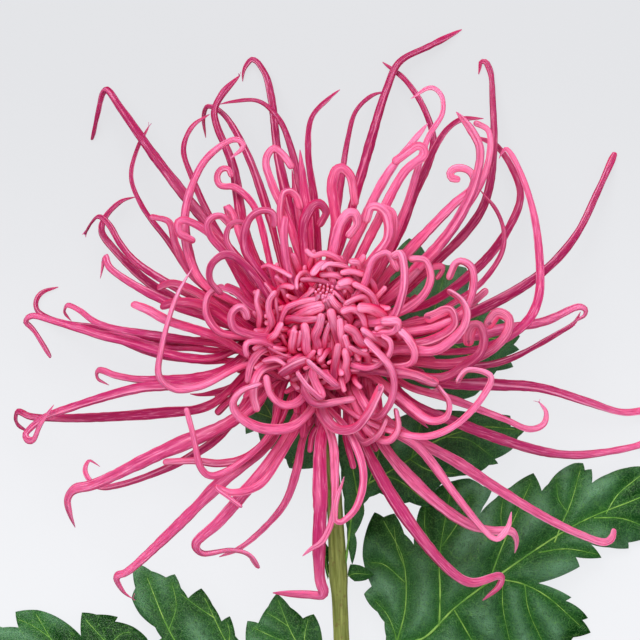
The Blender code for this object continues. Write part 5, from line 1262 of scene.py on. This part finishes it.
def rib_shape(line, level, width, random):
    """A raised vein along a line on the drawing plane at the given levels, thinner towards its end."""
    thick = width * VEIN_WIDTH * np.linspace(*VEIN_TAPER, len(line))
    thick *= uneven(np.arange(len(line)) * VEIN_STEP, VEIN_WOBBLES, random)
    route, _ = refined(np.column_stack((line, level + LEAF_THIN * VEIN_SEAT, thick)), VEIN_FINE_STEP)
    _, upward, across = carried_frames(route[:, :3], (0, 0, 1))
    angles = around(VEIN_SIDES)
    rings = tube_rings(route[:, :3], upward, across, route[:, 3:] * VEIN_HEIGHT * np.cos(angles),
                       route[:, 3:] * np.sin(angles))
    vertices, faces = skin(rings)
    size = len(vertices)
    return {"vertices": vertices, "faces": faces, "vein": np.ones(size), "sheen": np.zeros(size),
            "swell": np.zeros(size)}


def leaf_shape(outline, heights, veins, seed, sheen):
    """A puckered blade with raised veins in its furrows, and which of its two materials each face has."""
    rim = rounded_rim(outline, LEAF_RIM_STEP)
    loop = np.vstack((rim, rim[:1]))
    surface = thin_plate(heights)
    lines = [smooth_route(points, VEIN_STEP) for _, points in veins]

    def blade_height(places, reach):
        from_rim = away_from_line(places, loop)
        pucker = LEAF_PUCKER * swelling(reach) * np.clip(from_rim / PUCKER_RIM, 0, 1)
        calmer = np.clip(WAVE_START - from_rim / WAVE_FADE, WAVE_LEAST, 1)
        waves = LEAF_WAVES * ripple(places, seed) * calmer
        return np.maximum(surface(places) + pucker - LEAF_PUCKER * PUCKER_SINK + waves, LEAF_THIN)

    blade = blade_shape(rim, lines, veins, blade_height, sheen)
    shapes = [blade]
    random = np.random.default_rng(seed)
    for line, (width, _) in zip(lines, veins):
        raised = blade_height(line, np.zeros(len(line))) + VEIN_RISE
        level = np.where(all_inside(rim, line), raised, surface(line))
        shapes.append(rib_shape(line, level, width, random))
    veined = joined(shapes)
    count = len(blade["faces"])
    return veined, [0] * count + [1] * (len(veined["faces"]) - count)


def stem_shape():
    """The ridged stalk, thicker at its nodes, and the faces of its cut end."""
    table = smooth_route(STEM_ROUTE, 1.0)
    line, thick = table[:, :3], table[:, 3]
    along = np.arange(len(line), dtype=float)
    tangents, upward, across = carried_frames(line, (0, 0, 1))
    random = np.random.default_rng(STEM_SEED)
    angles = around(STEM_SIDES)
    waves = np.cos(STEM_RIDGES * (angles + STEM_TWIST * along[:, None]))
    reach = (thick * uneven(along, STEM_WOBBLES, random))[:, None] * (1 + STEM_RIDGE_DEPTH * waves)
    rings = tube_rings(line, upward, across, reach * np.cos(angles), reach * np.sin(angles))
    slant = (rings[0] - line[0]) @ upward[0]
    rings[0] += tangents[0] * (slant * STEM_CUT_SLANT)[:, None]
    rings[..., 2] = np.maximum(rings[..., 2], FLOOR_GAP)
    vertices, faces = skin(rings)
    shape = {"vertices": vertices, "faces": faces, "ridge": np.append(waves.ravel(), (0.0, 0.0)),
             "flow": flow_along(angles, along * STEM_STREAK_LENGTH, 2)}
    cut = (len(line) - 1) * STEM_SIDES
    return shape, [int(cut <= index < cut + STEM_SIDES) for index in range(len(faces))]


def bract_shape(row, polar_foot, length, azimuth):
    """One pointed bract, bent over the back of the head."""
    along = np.linspace(0, 1, 9)
    across = np.linspace(-1, 1, 7)
    swell = np.sin(math.pi * (BRACT_FOOT + (1 - BRACT_FOOT) * along))
    half = BRACT_HALF_WIDTH * np.sqrt(np.clip(swell, 0, 1))
    grid = []
    for share, wide in zip(along, half):
        polar = math.radians(polar_foot) - length * share / HEAD_RADIUS
        for side in across:
            turn = azimuth + side * wide / (HEAD_RADIUS * max(0.25, math.sin(polar)))
            lift = BRACT_LIFT + BRACT_ROW_LIFT * (len(BRACT_ROWS) - row)
            lift += BRACT_BEND * share ** 2 - BRACT_HOLLOW * side ** 2
            grid.append(HEAD_CENTRE + on_head(polar, turn) * (HEAD_RADIUS + lift))
    grid = np.array(grid)
    outward = grid - HEAD_CENTRE
    outward *= BRACT_THIN / np.linalg.norm(outward, axis=1)[:, None]
    numbers = np.arange(len(grid)).reshape(len(along), len(across))
    corners = (numbers[:-1, :-1], numbers[1:, :-1], numbers[1:, 1:], numbers[:-1, 1:])
    top = np.column_stack([corner.ravel() for corner in corners])
    rim = np.concatenate((numbers[0], numbers[1:, -1], numbers[-1, -2::-1], numbers[-2:0:-1, 0]))
    following = np.roll(rim, -1)
    sides = np.column_stack((rim, following, following + len(grid), rim + len(grid)))
    edge = np.maximum(np.abs(np.tile(across, len(along))), np.repeat(along, len(across))) ** 2
    return {"vertices": np.vstack((grid + outward, grid - outward)), "edge": np.tile(edge, 2),
            "faces": np.vstack((top, top[:, ::-1] + len(grid), sides)).tolist()}


def bracts_shape():
    """Rows of overlapping bracts on the back of the head, over the cup and the neck that carry them."""
    pieces = []
    for row, (polar_foot, length, count) in enumerate(BRACT_ROWS):
        for place in range(count):
            azimuth = 2 * math.pi * (place + 0.5 * (row % 2)) / count
            pieces.append(bract_shape(row, polar_foot, length, azimuth))
    turns = around(40)
    cup = np.array([[HEAD_CENTRE + on_head(polar, turn) * (HEAD_RADIUS + CUP_LIFT) for turn in turns]
                    for polar in np.linspace(CUP_ANGLE, math.pi - 0.02, 12)])
    line = np.array([HEAD_CENTRE - head_frame()[0] * (HEAD_RADIUS + reach) for reach, _ in NECK])
    _, inner, across = carried_frames(line, (1, 0, 0))
    thick = np.array([radius for _, radius in NECK])[:, None]
    neck = tube_rings(line, inner, across, thick * np.cos(turns), thick * np.sin(turns))
    for rings, open_start in ((cup, True), (neck, False)):
        vertices, faces = skin(rings, open_start)
        pieces.append({"vertices": vertices, "faces": faces, "edge": np.zeros(len(vertices))})
    return joined(pieces)


def graph_node(tree, kind, sockets=(), **settings):
    """A shader node with its settings and its sockets given as values or as other nodes' outputs."""
    made = tree.nodes.new(kind)
    for name, value in settings.items():
        setattr(made, name, value)
    for key, value in dict(sockets).items():
        if isinstance(value, bpy.types.NodeSocket):
            tree.links.new(value, made.inputs[key])
        else:
            made.inputs[key].default_value = value
    return made


def attribute(tree, name):
    """A named value of the mesh."""
    return graph_node(tree, "ShaderNodeAttribute", attribute_name=name).outputs["Fac"]


def noise(tree, place, scale, detail, output="Fac"):
    """A value that varies unevenly over the surface, mostly between 0.3 and 0.7."""
    sockets = {"Vector": place, "Scale": scale, "Detail": detail}
    return graph_node(tree, "ShaderNodeTexNoise", sockets).outputs[output]


def ranged(tree, value, low, high, to_low=0.0, to_high=1.0):
    """A value taken from one range to another, smoothly and without leaving the second."""
    sockets = {"Value": value, "From Min": low, "From Max": high, "To Min": to_low, "To Max": to_high}
    return graph_node(tree, "ShaderNodeMapRange", sockets, interpolation_type="SMOOTHSTEP").outputs["Result"]


def mixed(tree, share, one, other, blend="MIX"):
    """Two colours mixed by a share."""
    made = graph_node(tree, "ShaderNodeMix", data_type="RGBA", blend_type=blend)
    for socket, value in zip((made.inputs[0], made.inputs[6], made.inputs[7]), (share, one, other)):
        if isinstance(value, bpy.types.NodeSocket):
            tree.links.new(value, socket)
        else:
            socket.default_value = value
    return made.outputs[2]


def layered(tree, body, layers):
    """A colour under others: each with a value, where that starts and is full, how strong, and its tint."""
    for value, start, full, most, tint in layers:
        body = mixed(tree, ranged(tree, value, start, full, 0.0, most), body, colour(*tint))
    return body


def patchy(tree, value, one, other):
    """A colour that turns into another one where a noise value is high."""
    return layered(tree, colour(*one), ((value, *PATCH_EDGES, 1.0, other),))


def times(tree, value, factor):
    """The product of two values."""
    return graph_node(tree, "ShaderNodeMath", {0: value, 1: factor}, operation="MULTIPLY").outputs[0]


def colour(*screen):
    """A screen colour, 0 to 255, as the linear colour that shaders take."""
    return (*(c / 255 / 12.92 if c <= 10 else ((c / 255 + 0.055) / 1.055) ** 2.4 for c in screen), 1.0)


def blank_material(name, roughness, specular):
    """A material, its nodes and its shader."""
    material = bpy.data.materials.new(name)
    material.use_nodes = True
    shader = material.node_tree.nodes["Principled BSDF"]
    shader.inputs["Roughness"].default_value = roughness
    shader.inputs["Specular IOR Level"].default_value = specular
    return material, material.node_tree, shader


def finish(tree, shader, body, relief=None, strength=0.0, height=0.0):
    """Gives a shader its colour, and fine bumps where there is a relief."""
    tree.links.new(body, shader.inputs["Base Color"])
    if relief is not None:
        sockets = {"Height": relief, "Strength": strength, "Distance": height}
        bump = graph_node(tree, "ShaderNodeBump", sockets)
        tree.links.new(bump.outputs["Normal"], shader.inputs["Normal"])


def object_place(tree):
    """Where a point is on the flower, in millimetres."""
    place = graph_node(tree, "ShaderNodeTexCoord").outputs["Object"]
    scaled = graph_node(tree, "ShaderNodeVectorMath", {0: place, 3: 1 / MM}, operation="SCALE")
    return scaled.outputs["Vector"]


def petal_material():
    """Grooved floret tissue: crimson painted shade deep in the head, pink along it, painted light at the
    front.
    """
    material, tree, shader = blank_material("floret_tissue", 0.42, 0.36)
    share, tone, ridge, hollow, shade, depth = (
        attribute(tree, name) for name in ("share", "tone", "ridge", "hollow", "shade", "depth"))
    flow = graph_node(tree, "ShaderNodeAttribute", attribute_name="flow").outputs["Vector"]
    body = mixed(tree, tone, colour(186, 46, 108), colour(236, 114, 162))
    # Random shades of each floret; on the dark outer florets these are partly painted shade
    body = layered(tree, body, (
        (shade, 0.5, 1.0, 0.8, (156, 26, 84)),
        (shade, 0.4, 0.0, 0.3, (228, 108, 156)),
        (share, 0.45, 0.0, 0.5, (180, 24, 90)),
    ))
    ends = times(tree, ranged(tree, share, 0.5, 1.0, 0.0, 0.5), ranged(tree, shade, 0.6, 1.0, 1.0, 0.1))
    body = mixed(tree, ends, body, colour(242, 126, 170))
    # Paler tips, more so on pale florets, whose tone holds painted light
    tips = times(tree, tone, ranged(tree, share, 0.7, 1.0, 0.0, 0.6))
    body = mixed(tree, tips, body, colour(252, 158, 194))
    streaks = noise(tree, flow, 4.5, 4.0)
    body = layered(tree, body, (
        (streaks, 0.5, 0.66, 0.55, (160, 14, 76)),
        (streaks, 0.46, 0.32, 0.4, (248, 166, 200)),
        (noise(tree, flow, 1.1, 1.0), 0.5, 0.75, 0.35, (244, 136, 178)),
        # Painted highlight on each floret's ridges and painted shade in its grooves
        (ridge, -0.3, -1.3, 0.5, (160, 10, 74)),
        (ridge, 0.4, 1.4, 0.45, (250, 176, 206)),
        (hollow, 0.1, 0.5, 0.15, (180, 28, 92)),
    ))
    # Dark florets darker still: their own colour, and on the upper outer ones painted shade
    body = mixed(tree, ranged(tree, shade, 0.6, 1.0), body, (0.93, 0.87, 0.89, 1.0), "MULTIPLY")
    # Painted shade: crimson where a floret is deep in the head or on its flanks, with less gloss there
    finish(tree, shader, mixed(tree, depth, body, colour(236, 0, 90)), streaks, 0.3, 0.0003)
    tree.links.new(ranged(tree, depth, 0.0, 0.5, 0.34, 0.05), shader.inputs["Specular IOR Level"])
    shader.inputs["Subsurface Weight"].default_value = 0.4
    shader.inputs["Subsurface Radius"].default_value = (1.0, 0.3, 0.35)
    shader.inputs["Subsurface Scale"].default_value = 0.0018
    return material


def leaf_material():
    """Deep green blades, lighter beside their veins, painted sheen where they swell, finely grained and
    netted.
    """
    material, tree, shader = blank_material("leaf_blade", 0.36, 0.5)
    place = object_place(tree)
    body = patchy(tree, noise(tree, place, 0.05, 3.0), (2, 50, 8), (30, 90, 30))
    # Painted sheen: paler patches on the swells between the veins, and on whole blades that would catch the
    # light
    swelling = times(tree, attribute(tree, "swell"), ranged(tree, noise(tree, place, 0.05, 1.5), 0.4, 0.68))
    body = mixed(tree, swelling, body, colour(106, 152, 118))
    body = mixed(tree, attribute(tree, "sheen"), body, colour(96, 150, 108))
    fine = noise(tree, place, 0.6, 5.0)
    grain = noise(tree, place, 2.8, 2.0)
    bent = graph_node(tree, "ShaderNodeVectorMath",
                      {0: noise(tree, place, 0.35, 2.0, "Color"), 1: (5.0, 5.0, 0.0), 2: place},
                      operation="MULTIPLY_ADD").outputs["Vector"]
    net = graph_node(tree, "ShaderNodeTexVoronoi", {"Vector": bent, "Scale": 0.24},
                     feature="DISTANCE_TO_EDGE", voronoi_dimensions="2D").outputs["Distance"]
    body = layered(tree, body, (
        (fine, 0.48, 0.72, 0.35, (4, 50, 6)),
        (grain, 0.48, 0.66, 0.5, (78, 128, 62)),
        (grain, 0.5, 0.34, 0.45, (2, 44, 2)),
        (net, 0.035, 0.0, 0.4, (96, 150, 66)),
        (attribute(tree, "vein"), 0.3, 1.0, 0.35, (60, 116, 40)),
    ))
    relief = graph_node(tree, "ShaderNodeMath", {0: grain, 1: fine}, operation="ADD").outputs[0]
    finish(tree, shader, body, relief, 0.6, 0.0007)
    return material


def vein_material():
    """The raised yellow-green veins."""
    material, tree, shader = blank_material("leaf_vein", 0.45, 0.4)
    spots = noise(tree, object_place(tree), 0.25, 3.0)
    finish(tree, shader, patchy(tree, spots, (84, 138, 48), (140, 182, 84)))
    return material


def stem_material():
    """Olive stalk skin with lengthwise streaks and brown speckles."""
    material, tree, shader = blank_material("stalk_skin", 0.5, 0.35)
    flow = graph_node(tree, "ShaderNodeAttribute", attribute_name="flow").outputs["Vector"]
    ridge = attribute(tree, "ridge")
    streaks = noise(tree, flow, 4.0, 4.0)
    body = layered(tree, patchy(tree, streaks, (108, 118, 52), (144, 152, 80)), (
        # Painted highlight on the stem's ridges and painted shade between them
        (ridge, 0.3, 1.2, 0.3, (166, 174, 104)),
        (ridge, -0.2, -1.2, 0.4, (92, 96, 40)),
        (noise(tree, object_place(tree), 0.8, 5.0), 0.58, 0.68, 0.5, (110, 84, 50)),
    ))
    finish(tree, shader, body, streaks, 0.4, 0.0004)
    return material


def pith_material():
    """The pale cut face of the stem."""
    material, tree, shader = blank_material("stalk_pith", 0.6, 0.3)
    spots = noise(tree, object_place(tree), 1.5, 4.0)
    finish(tree, shader, patchy(tree, spots, (196, 204, 150), (226, 230, 190)))
    return material


def bract_material():
    """The green bracts behind the bloom, with a dry, pale edge."""
    material, tree, shader = blank_material("bract_tissue", 0.55, 0.35)
    body = patchy(tree, noise(tree, object_place(tree), 0.9, 4.0), (70, 104, 48), (104, 136, 66))
    edge = (attribute(tree, "edge"), 0.6, 1.0, 0.8, (170, 160, 104))
    finish(tree, shader, layered(tree, body, (edge,)))
    return material


def add_piece(name, shape, materials, replaced, face_materials=None):
    """A smooth mesh object from a shape, which rides on the flower and stands for one of its solids."""
    mesh = bpy.data.meshes.new(name)
    places = (shape["vertices"] - np.array((*PART_ORIGIN, 0.0))) * MM
    mesh.from_pydata(places.tolist(), [], shape["faces"])
    for key, values in shape.items():
        if key in ("vertices", "faces"):
            continue
        kind, field = ("FLOAT_VECTOR", "vector") if values.ndim == 2 else ("FLOAT", "value")
        mesh.attributes.new(key, kind, "POINT").data.foreach_set(field, values.astype(np.float32).ravel())
    mesh.polygons.foreach_set("use_smooth", [True] * len(mesh.polygons))
    if face_materials is not None:
        mesh.polygons.foreach_set("material_index", face_materials)
    for material in materials:
        mesh.materials.append(material)
    piece = bpy.data.objects.new(name, mesh)
    bpy.context.scene.collection.objects.link(piece)
    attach(piece, "root")
    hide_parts(replaced)


def rooted_florets(outer):
    """The outer, hooked and button florets, each from its seat on the head."""
    spread = [*outer, *HOOKS]
    florets = []
    for index, ((radius, points), seat) in enumerate(zip(spread, seat_in_rows(spread))):
        inset = FLORET_INSET if index >= len(outer) else -CLEARANCE
        foot = HEAD_CENTRE + seat * (HEAD_RADIUS - inset)
        leaving = HEAD_CENTRE + seat * (HEAD_RADIUS + FLORET_EXIT)
        florets.append((radius, (foot, leaving, *points)))
    return florets + button_florets()


def things_beneath():
    """The stem, the leaves and the head as balls, which the florets keep away from."""
    stem = [(place[:3], place[3]) for place in smooth_route(STEM_ROUTE, STEM_PROBE)]
    return [*stem, *leaf_obstacles(), (HEAD_CENTRE - head_frame()[0] * HEAD_BALL_DROP, HEAD_RADIUS)]


def hook_tones_and_light():
    """How pale each hooked floret is: unevenly, and more so towards the front as painted light."""
    facing = [math.cos(head_angles(points[-1])[1] - FRONT_TURN) for _, points in HOOKS]
    uneven = np.random.default_rng(HOOK_SEED).uniform(-HOOK_TONE_SPREAD, HOOK_TONE_SPREAD, len(HOOKS))
    return HOOK_TONE + FRONT_LIGHT_GAIN * np.array(facing) + uneven


def inner_shapes(routes, first, axis):
    """The hooked florets by the quarter that they reach into, and the button florets, as lists by piece."""
    pieces = {"hooked_florets_left": [], "hooked_florets_lower": [], "hooked_florets_right": [],
              "hooked_florets_top": [], "button_florets": []}
    for index, ((radius, points), tone) in enumerate(zip(HOOKS, hook_tones_and_light()), first):
        turn = math.degrees(head_angles(points[-1])[1])
        side = ("right", "top", "left", "lower")[int((turn + 45) // 90) % 4]
        shape = inner_shape(routes[index], radius * HOOK_WIDTH, tone, index, axis, tone > OPEN_HOOK_TONE)
        pieces[f"hooked_florets_{side}"].append(shape)
    for index, (radius, _) in enumerate(button_florets(), first + len(HOOKS)):
        shape = inner_shape(routes[index], radius * BUTTON_WIDTH, BUTTON_TONE, index, axis, False)
        pieces["button_florets"].append(shape)
    return pieces


def between_shapes(routes, obstacles, axis):
    """The short florets between the outer ones, and the further outer ones."""
    short = between_florets(routes)
    florets = short + list(EXTRA)
    shapes = []
    for index, route in enumerate(settled_routes(florets, obstacles, BETWEEN_GAP)[0]):
        share = np.linspace(0, 1, len(route))
        radius = florets[index][0]
        if index < len(short):
            thick = radius * OUTER_WIDTH * blunt_radius(share)
        else:
            thick = outer_radius(share, radius, (len(route) - 1) * SAMPLE_STEP, True)
        shape = floret_shape(route, thick, 0.0, BETWEEN_SEED + index, axis, flank_shade=BETWEEN_FLANK_SHADE,
                             depth=OUTER_PAINTED_SHADE, sides=MIDDLE_SIDES)
        shape["share"] *= BETWEEN_SHARE
        shapes.append(shape)
    return shapes


def middle_shapes(obstacles, axis):
    """The short florets in the middle of the bloom."""
    florets = centre_florets()
    routes, _ = settled_routes([(radius, points) for radius, _, points in florets], obstacles, CENTRE_GAP)
    shapes = []
    for index, (route, (radius, tone, _)) in enumerate(zip(routes, florets)):
        thick = radius * blunt_radius(np.linspace(0, 1, len(route)))
        shape = floret_shape(route, thick, tone, MIDDLE_SEED + index, axis, flank_shade=MIDDLE_FLANK_SHADE,
                             sides=MIDDLE_SIDES)
        shape["ridge"] *= MIDDLE_RIDGES
        shape["share"] = CENTRE_SHARE + (1 - CENTRE_SHARE) * shape["share"]
        shapes.append(shape)
    return shapes


def add_florets(petal):
    """Every floret: a piece for each outer one, for each quarter of hooks, and for those in the middle."""
    axis = head_frame()[0]
    named = {f"{side}_{place:02d}": floret
             for side, group in FLORETS.items() for place, floret in enumerate(group, 1)}
    obstacles = things_beneath()
    routes, radii = settled_routes(rooted_florets(named.values()), obstacles)
    taken = [sample for route, thick in zip(routes, radii) for sample in zip(route, thick)]
    for index, (place, (radius, _)) in enumerate(named.items()):
        shape = outer_shape(place, routes[index], radius, index, axis)
        add_piece(f"floret_{place}", shape, [petal], f"floret_{place}")
    pieces = inner_shapes(routes, len(named), axis)
    pieces["florets_between"] = between_shapes(routes[:len(named)], obstacles + taken, axis)
    pieces["middle_florets"] = middle_shapes(taken, axis)
    pieces["receptacle"] = [receptacle_shape()]
    for name, shapes in pieces.items():
        add_piece(name, joined(shapes), [petal], "flower_head")


def add_leaves_and_stem():
    """The leaves with their veins, the stem with its cut face, and the bracts."""
    blade = [leaf_material(), vein_material()]
    for seed, (name, (outline, heights)) in enumerate(LEAVES.items()):
        shape, face_materials = leaf_shape(outline, heights, VEINS[name], seed, LEAF_SHEENS.get(name, 0.0))
        add_piece(name, shape, blade, name, face_materials)
    shape, face_materials = stem_shape()
    add_piece("stem", shape, [stem_material(), pith_material()], "stem", face_materials)
    add_piece("involucre_bracts", bracts_shape(), [bract_material()], "involucre")


def add_camera():
    """A distant camera with a long lens straight above the bloom."""
    camera = bpy.data.objects.new("camera", bpy.data.cameras.new("camera"))
    bpy.context.scene.collection.objects.link(camera)
    camera.location = to_part((*FRAME_CENTRE, FRAME_HEIGHT + CAMERA_HEIGHT))
    camera.data.lens = camera.data.sensor_width * CAMERA_HEIGHT / FRAME_WIDTH
    camera.data.clip_start, camera.data.clip_end = CAMERA_CLIP
    bpy.context.scene.camera = camera


def add_sun(name, strength, spread, towards, mirrored):
    """A distant light, which shows in glossy surfaces or not."""
    sun = bpy.data.objects.new(name, bpy.data.lights.new(name, "SUN"))
    sun.data.energy = strength
    sun.data.angle = math.radians(spread)
    sun.visible_glossy = mirrored
    sun.rotation_mode = "QUATERNION"
    sun.rotation_quaternion = Vector(towards).to_track_quat("-Z", "Y")
    bpy.context.scene.collection.objects.link(sun)


def add_floor():
    """A pale floor that glows a little."""
    mesh = bpy.data.meshes.new("floor")
    half = FLOOR_SIZE / 2
    corners = [(-half, -half, 0), (half, -half, 0), (half, half, 0), (-half, half, 0)]
    mesh.from_pydata(corners, [], [(0, 1, 2, 3)])
    floor = bpy.data.objects.new("floor", mesh)
    bpy.context.scene.collection.objects.link(floor)
    floor.visible_glossy = False
    material, tree, shader = blank_material("floor_paper", 0.9, 0.1)
    shader.inputs["Base Color"].default_value = FLOOR_COLOUR
    shader.inputs["Emission Color"].default_value = FLOOR_GLOW_COLOUR
    place = graph_node(tree, "ShaderNodeTexCoord").outputs["Object"]
    upwards = graph_node(tree, "ShaderNodeSeparateXYZ", {0: place}).outputs["Y"]
    glow = ranged(tree, upwards, *FLOOR_NEAR_AND_FAR, FLOOR_GLOW_NEAR, FLOOR_GLOW_FAR)
    tree.links.new(glow, shader.inputs["Emission Strength"])
    mesh.materials.append(material)


def add_studio():
    """The floor, an even sky and broad soft lights."""
    add_floor()
    world = bpy.data.worlds.new("studio")
    world.use_nodes = True
    sky = world.node_tree.nodes["Background"]
    sky.inputs["Color"].default_value = SKY_COLOUR
    sky.inputs["Strength"].default_value = SKY_STRENGTH
    bpy.context.scene.world = world
    world.cycles_visibility.glossy = False
    for sun in SUNS:
        add_sun(*sun)
    bpy.context.scene.view_settings.view_transform = "Standard"


add_florets(petal_material())
add_leaves_and_stem()
add_camera()
add_studio()
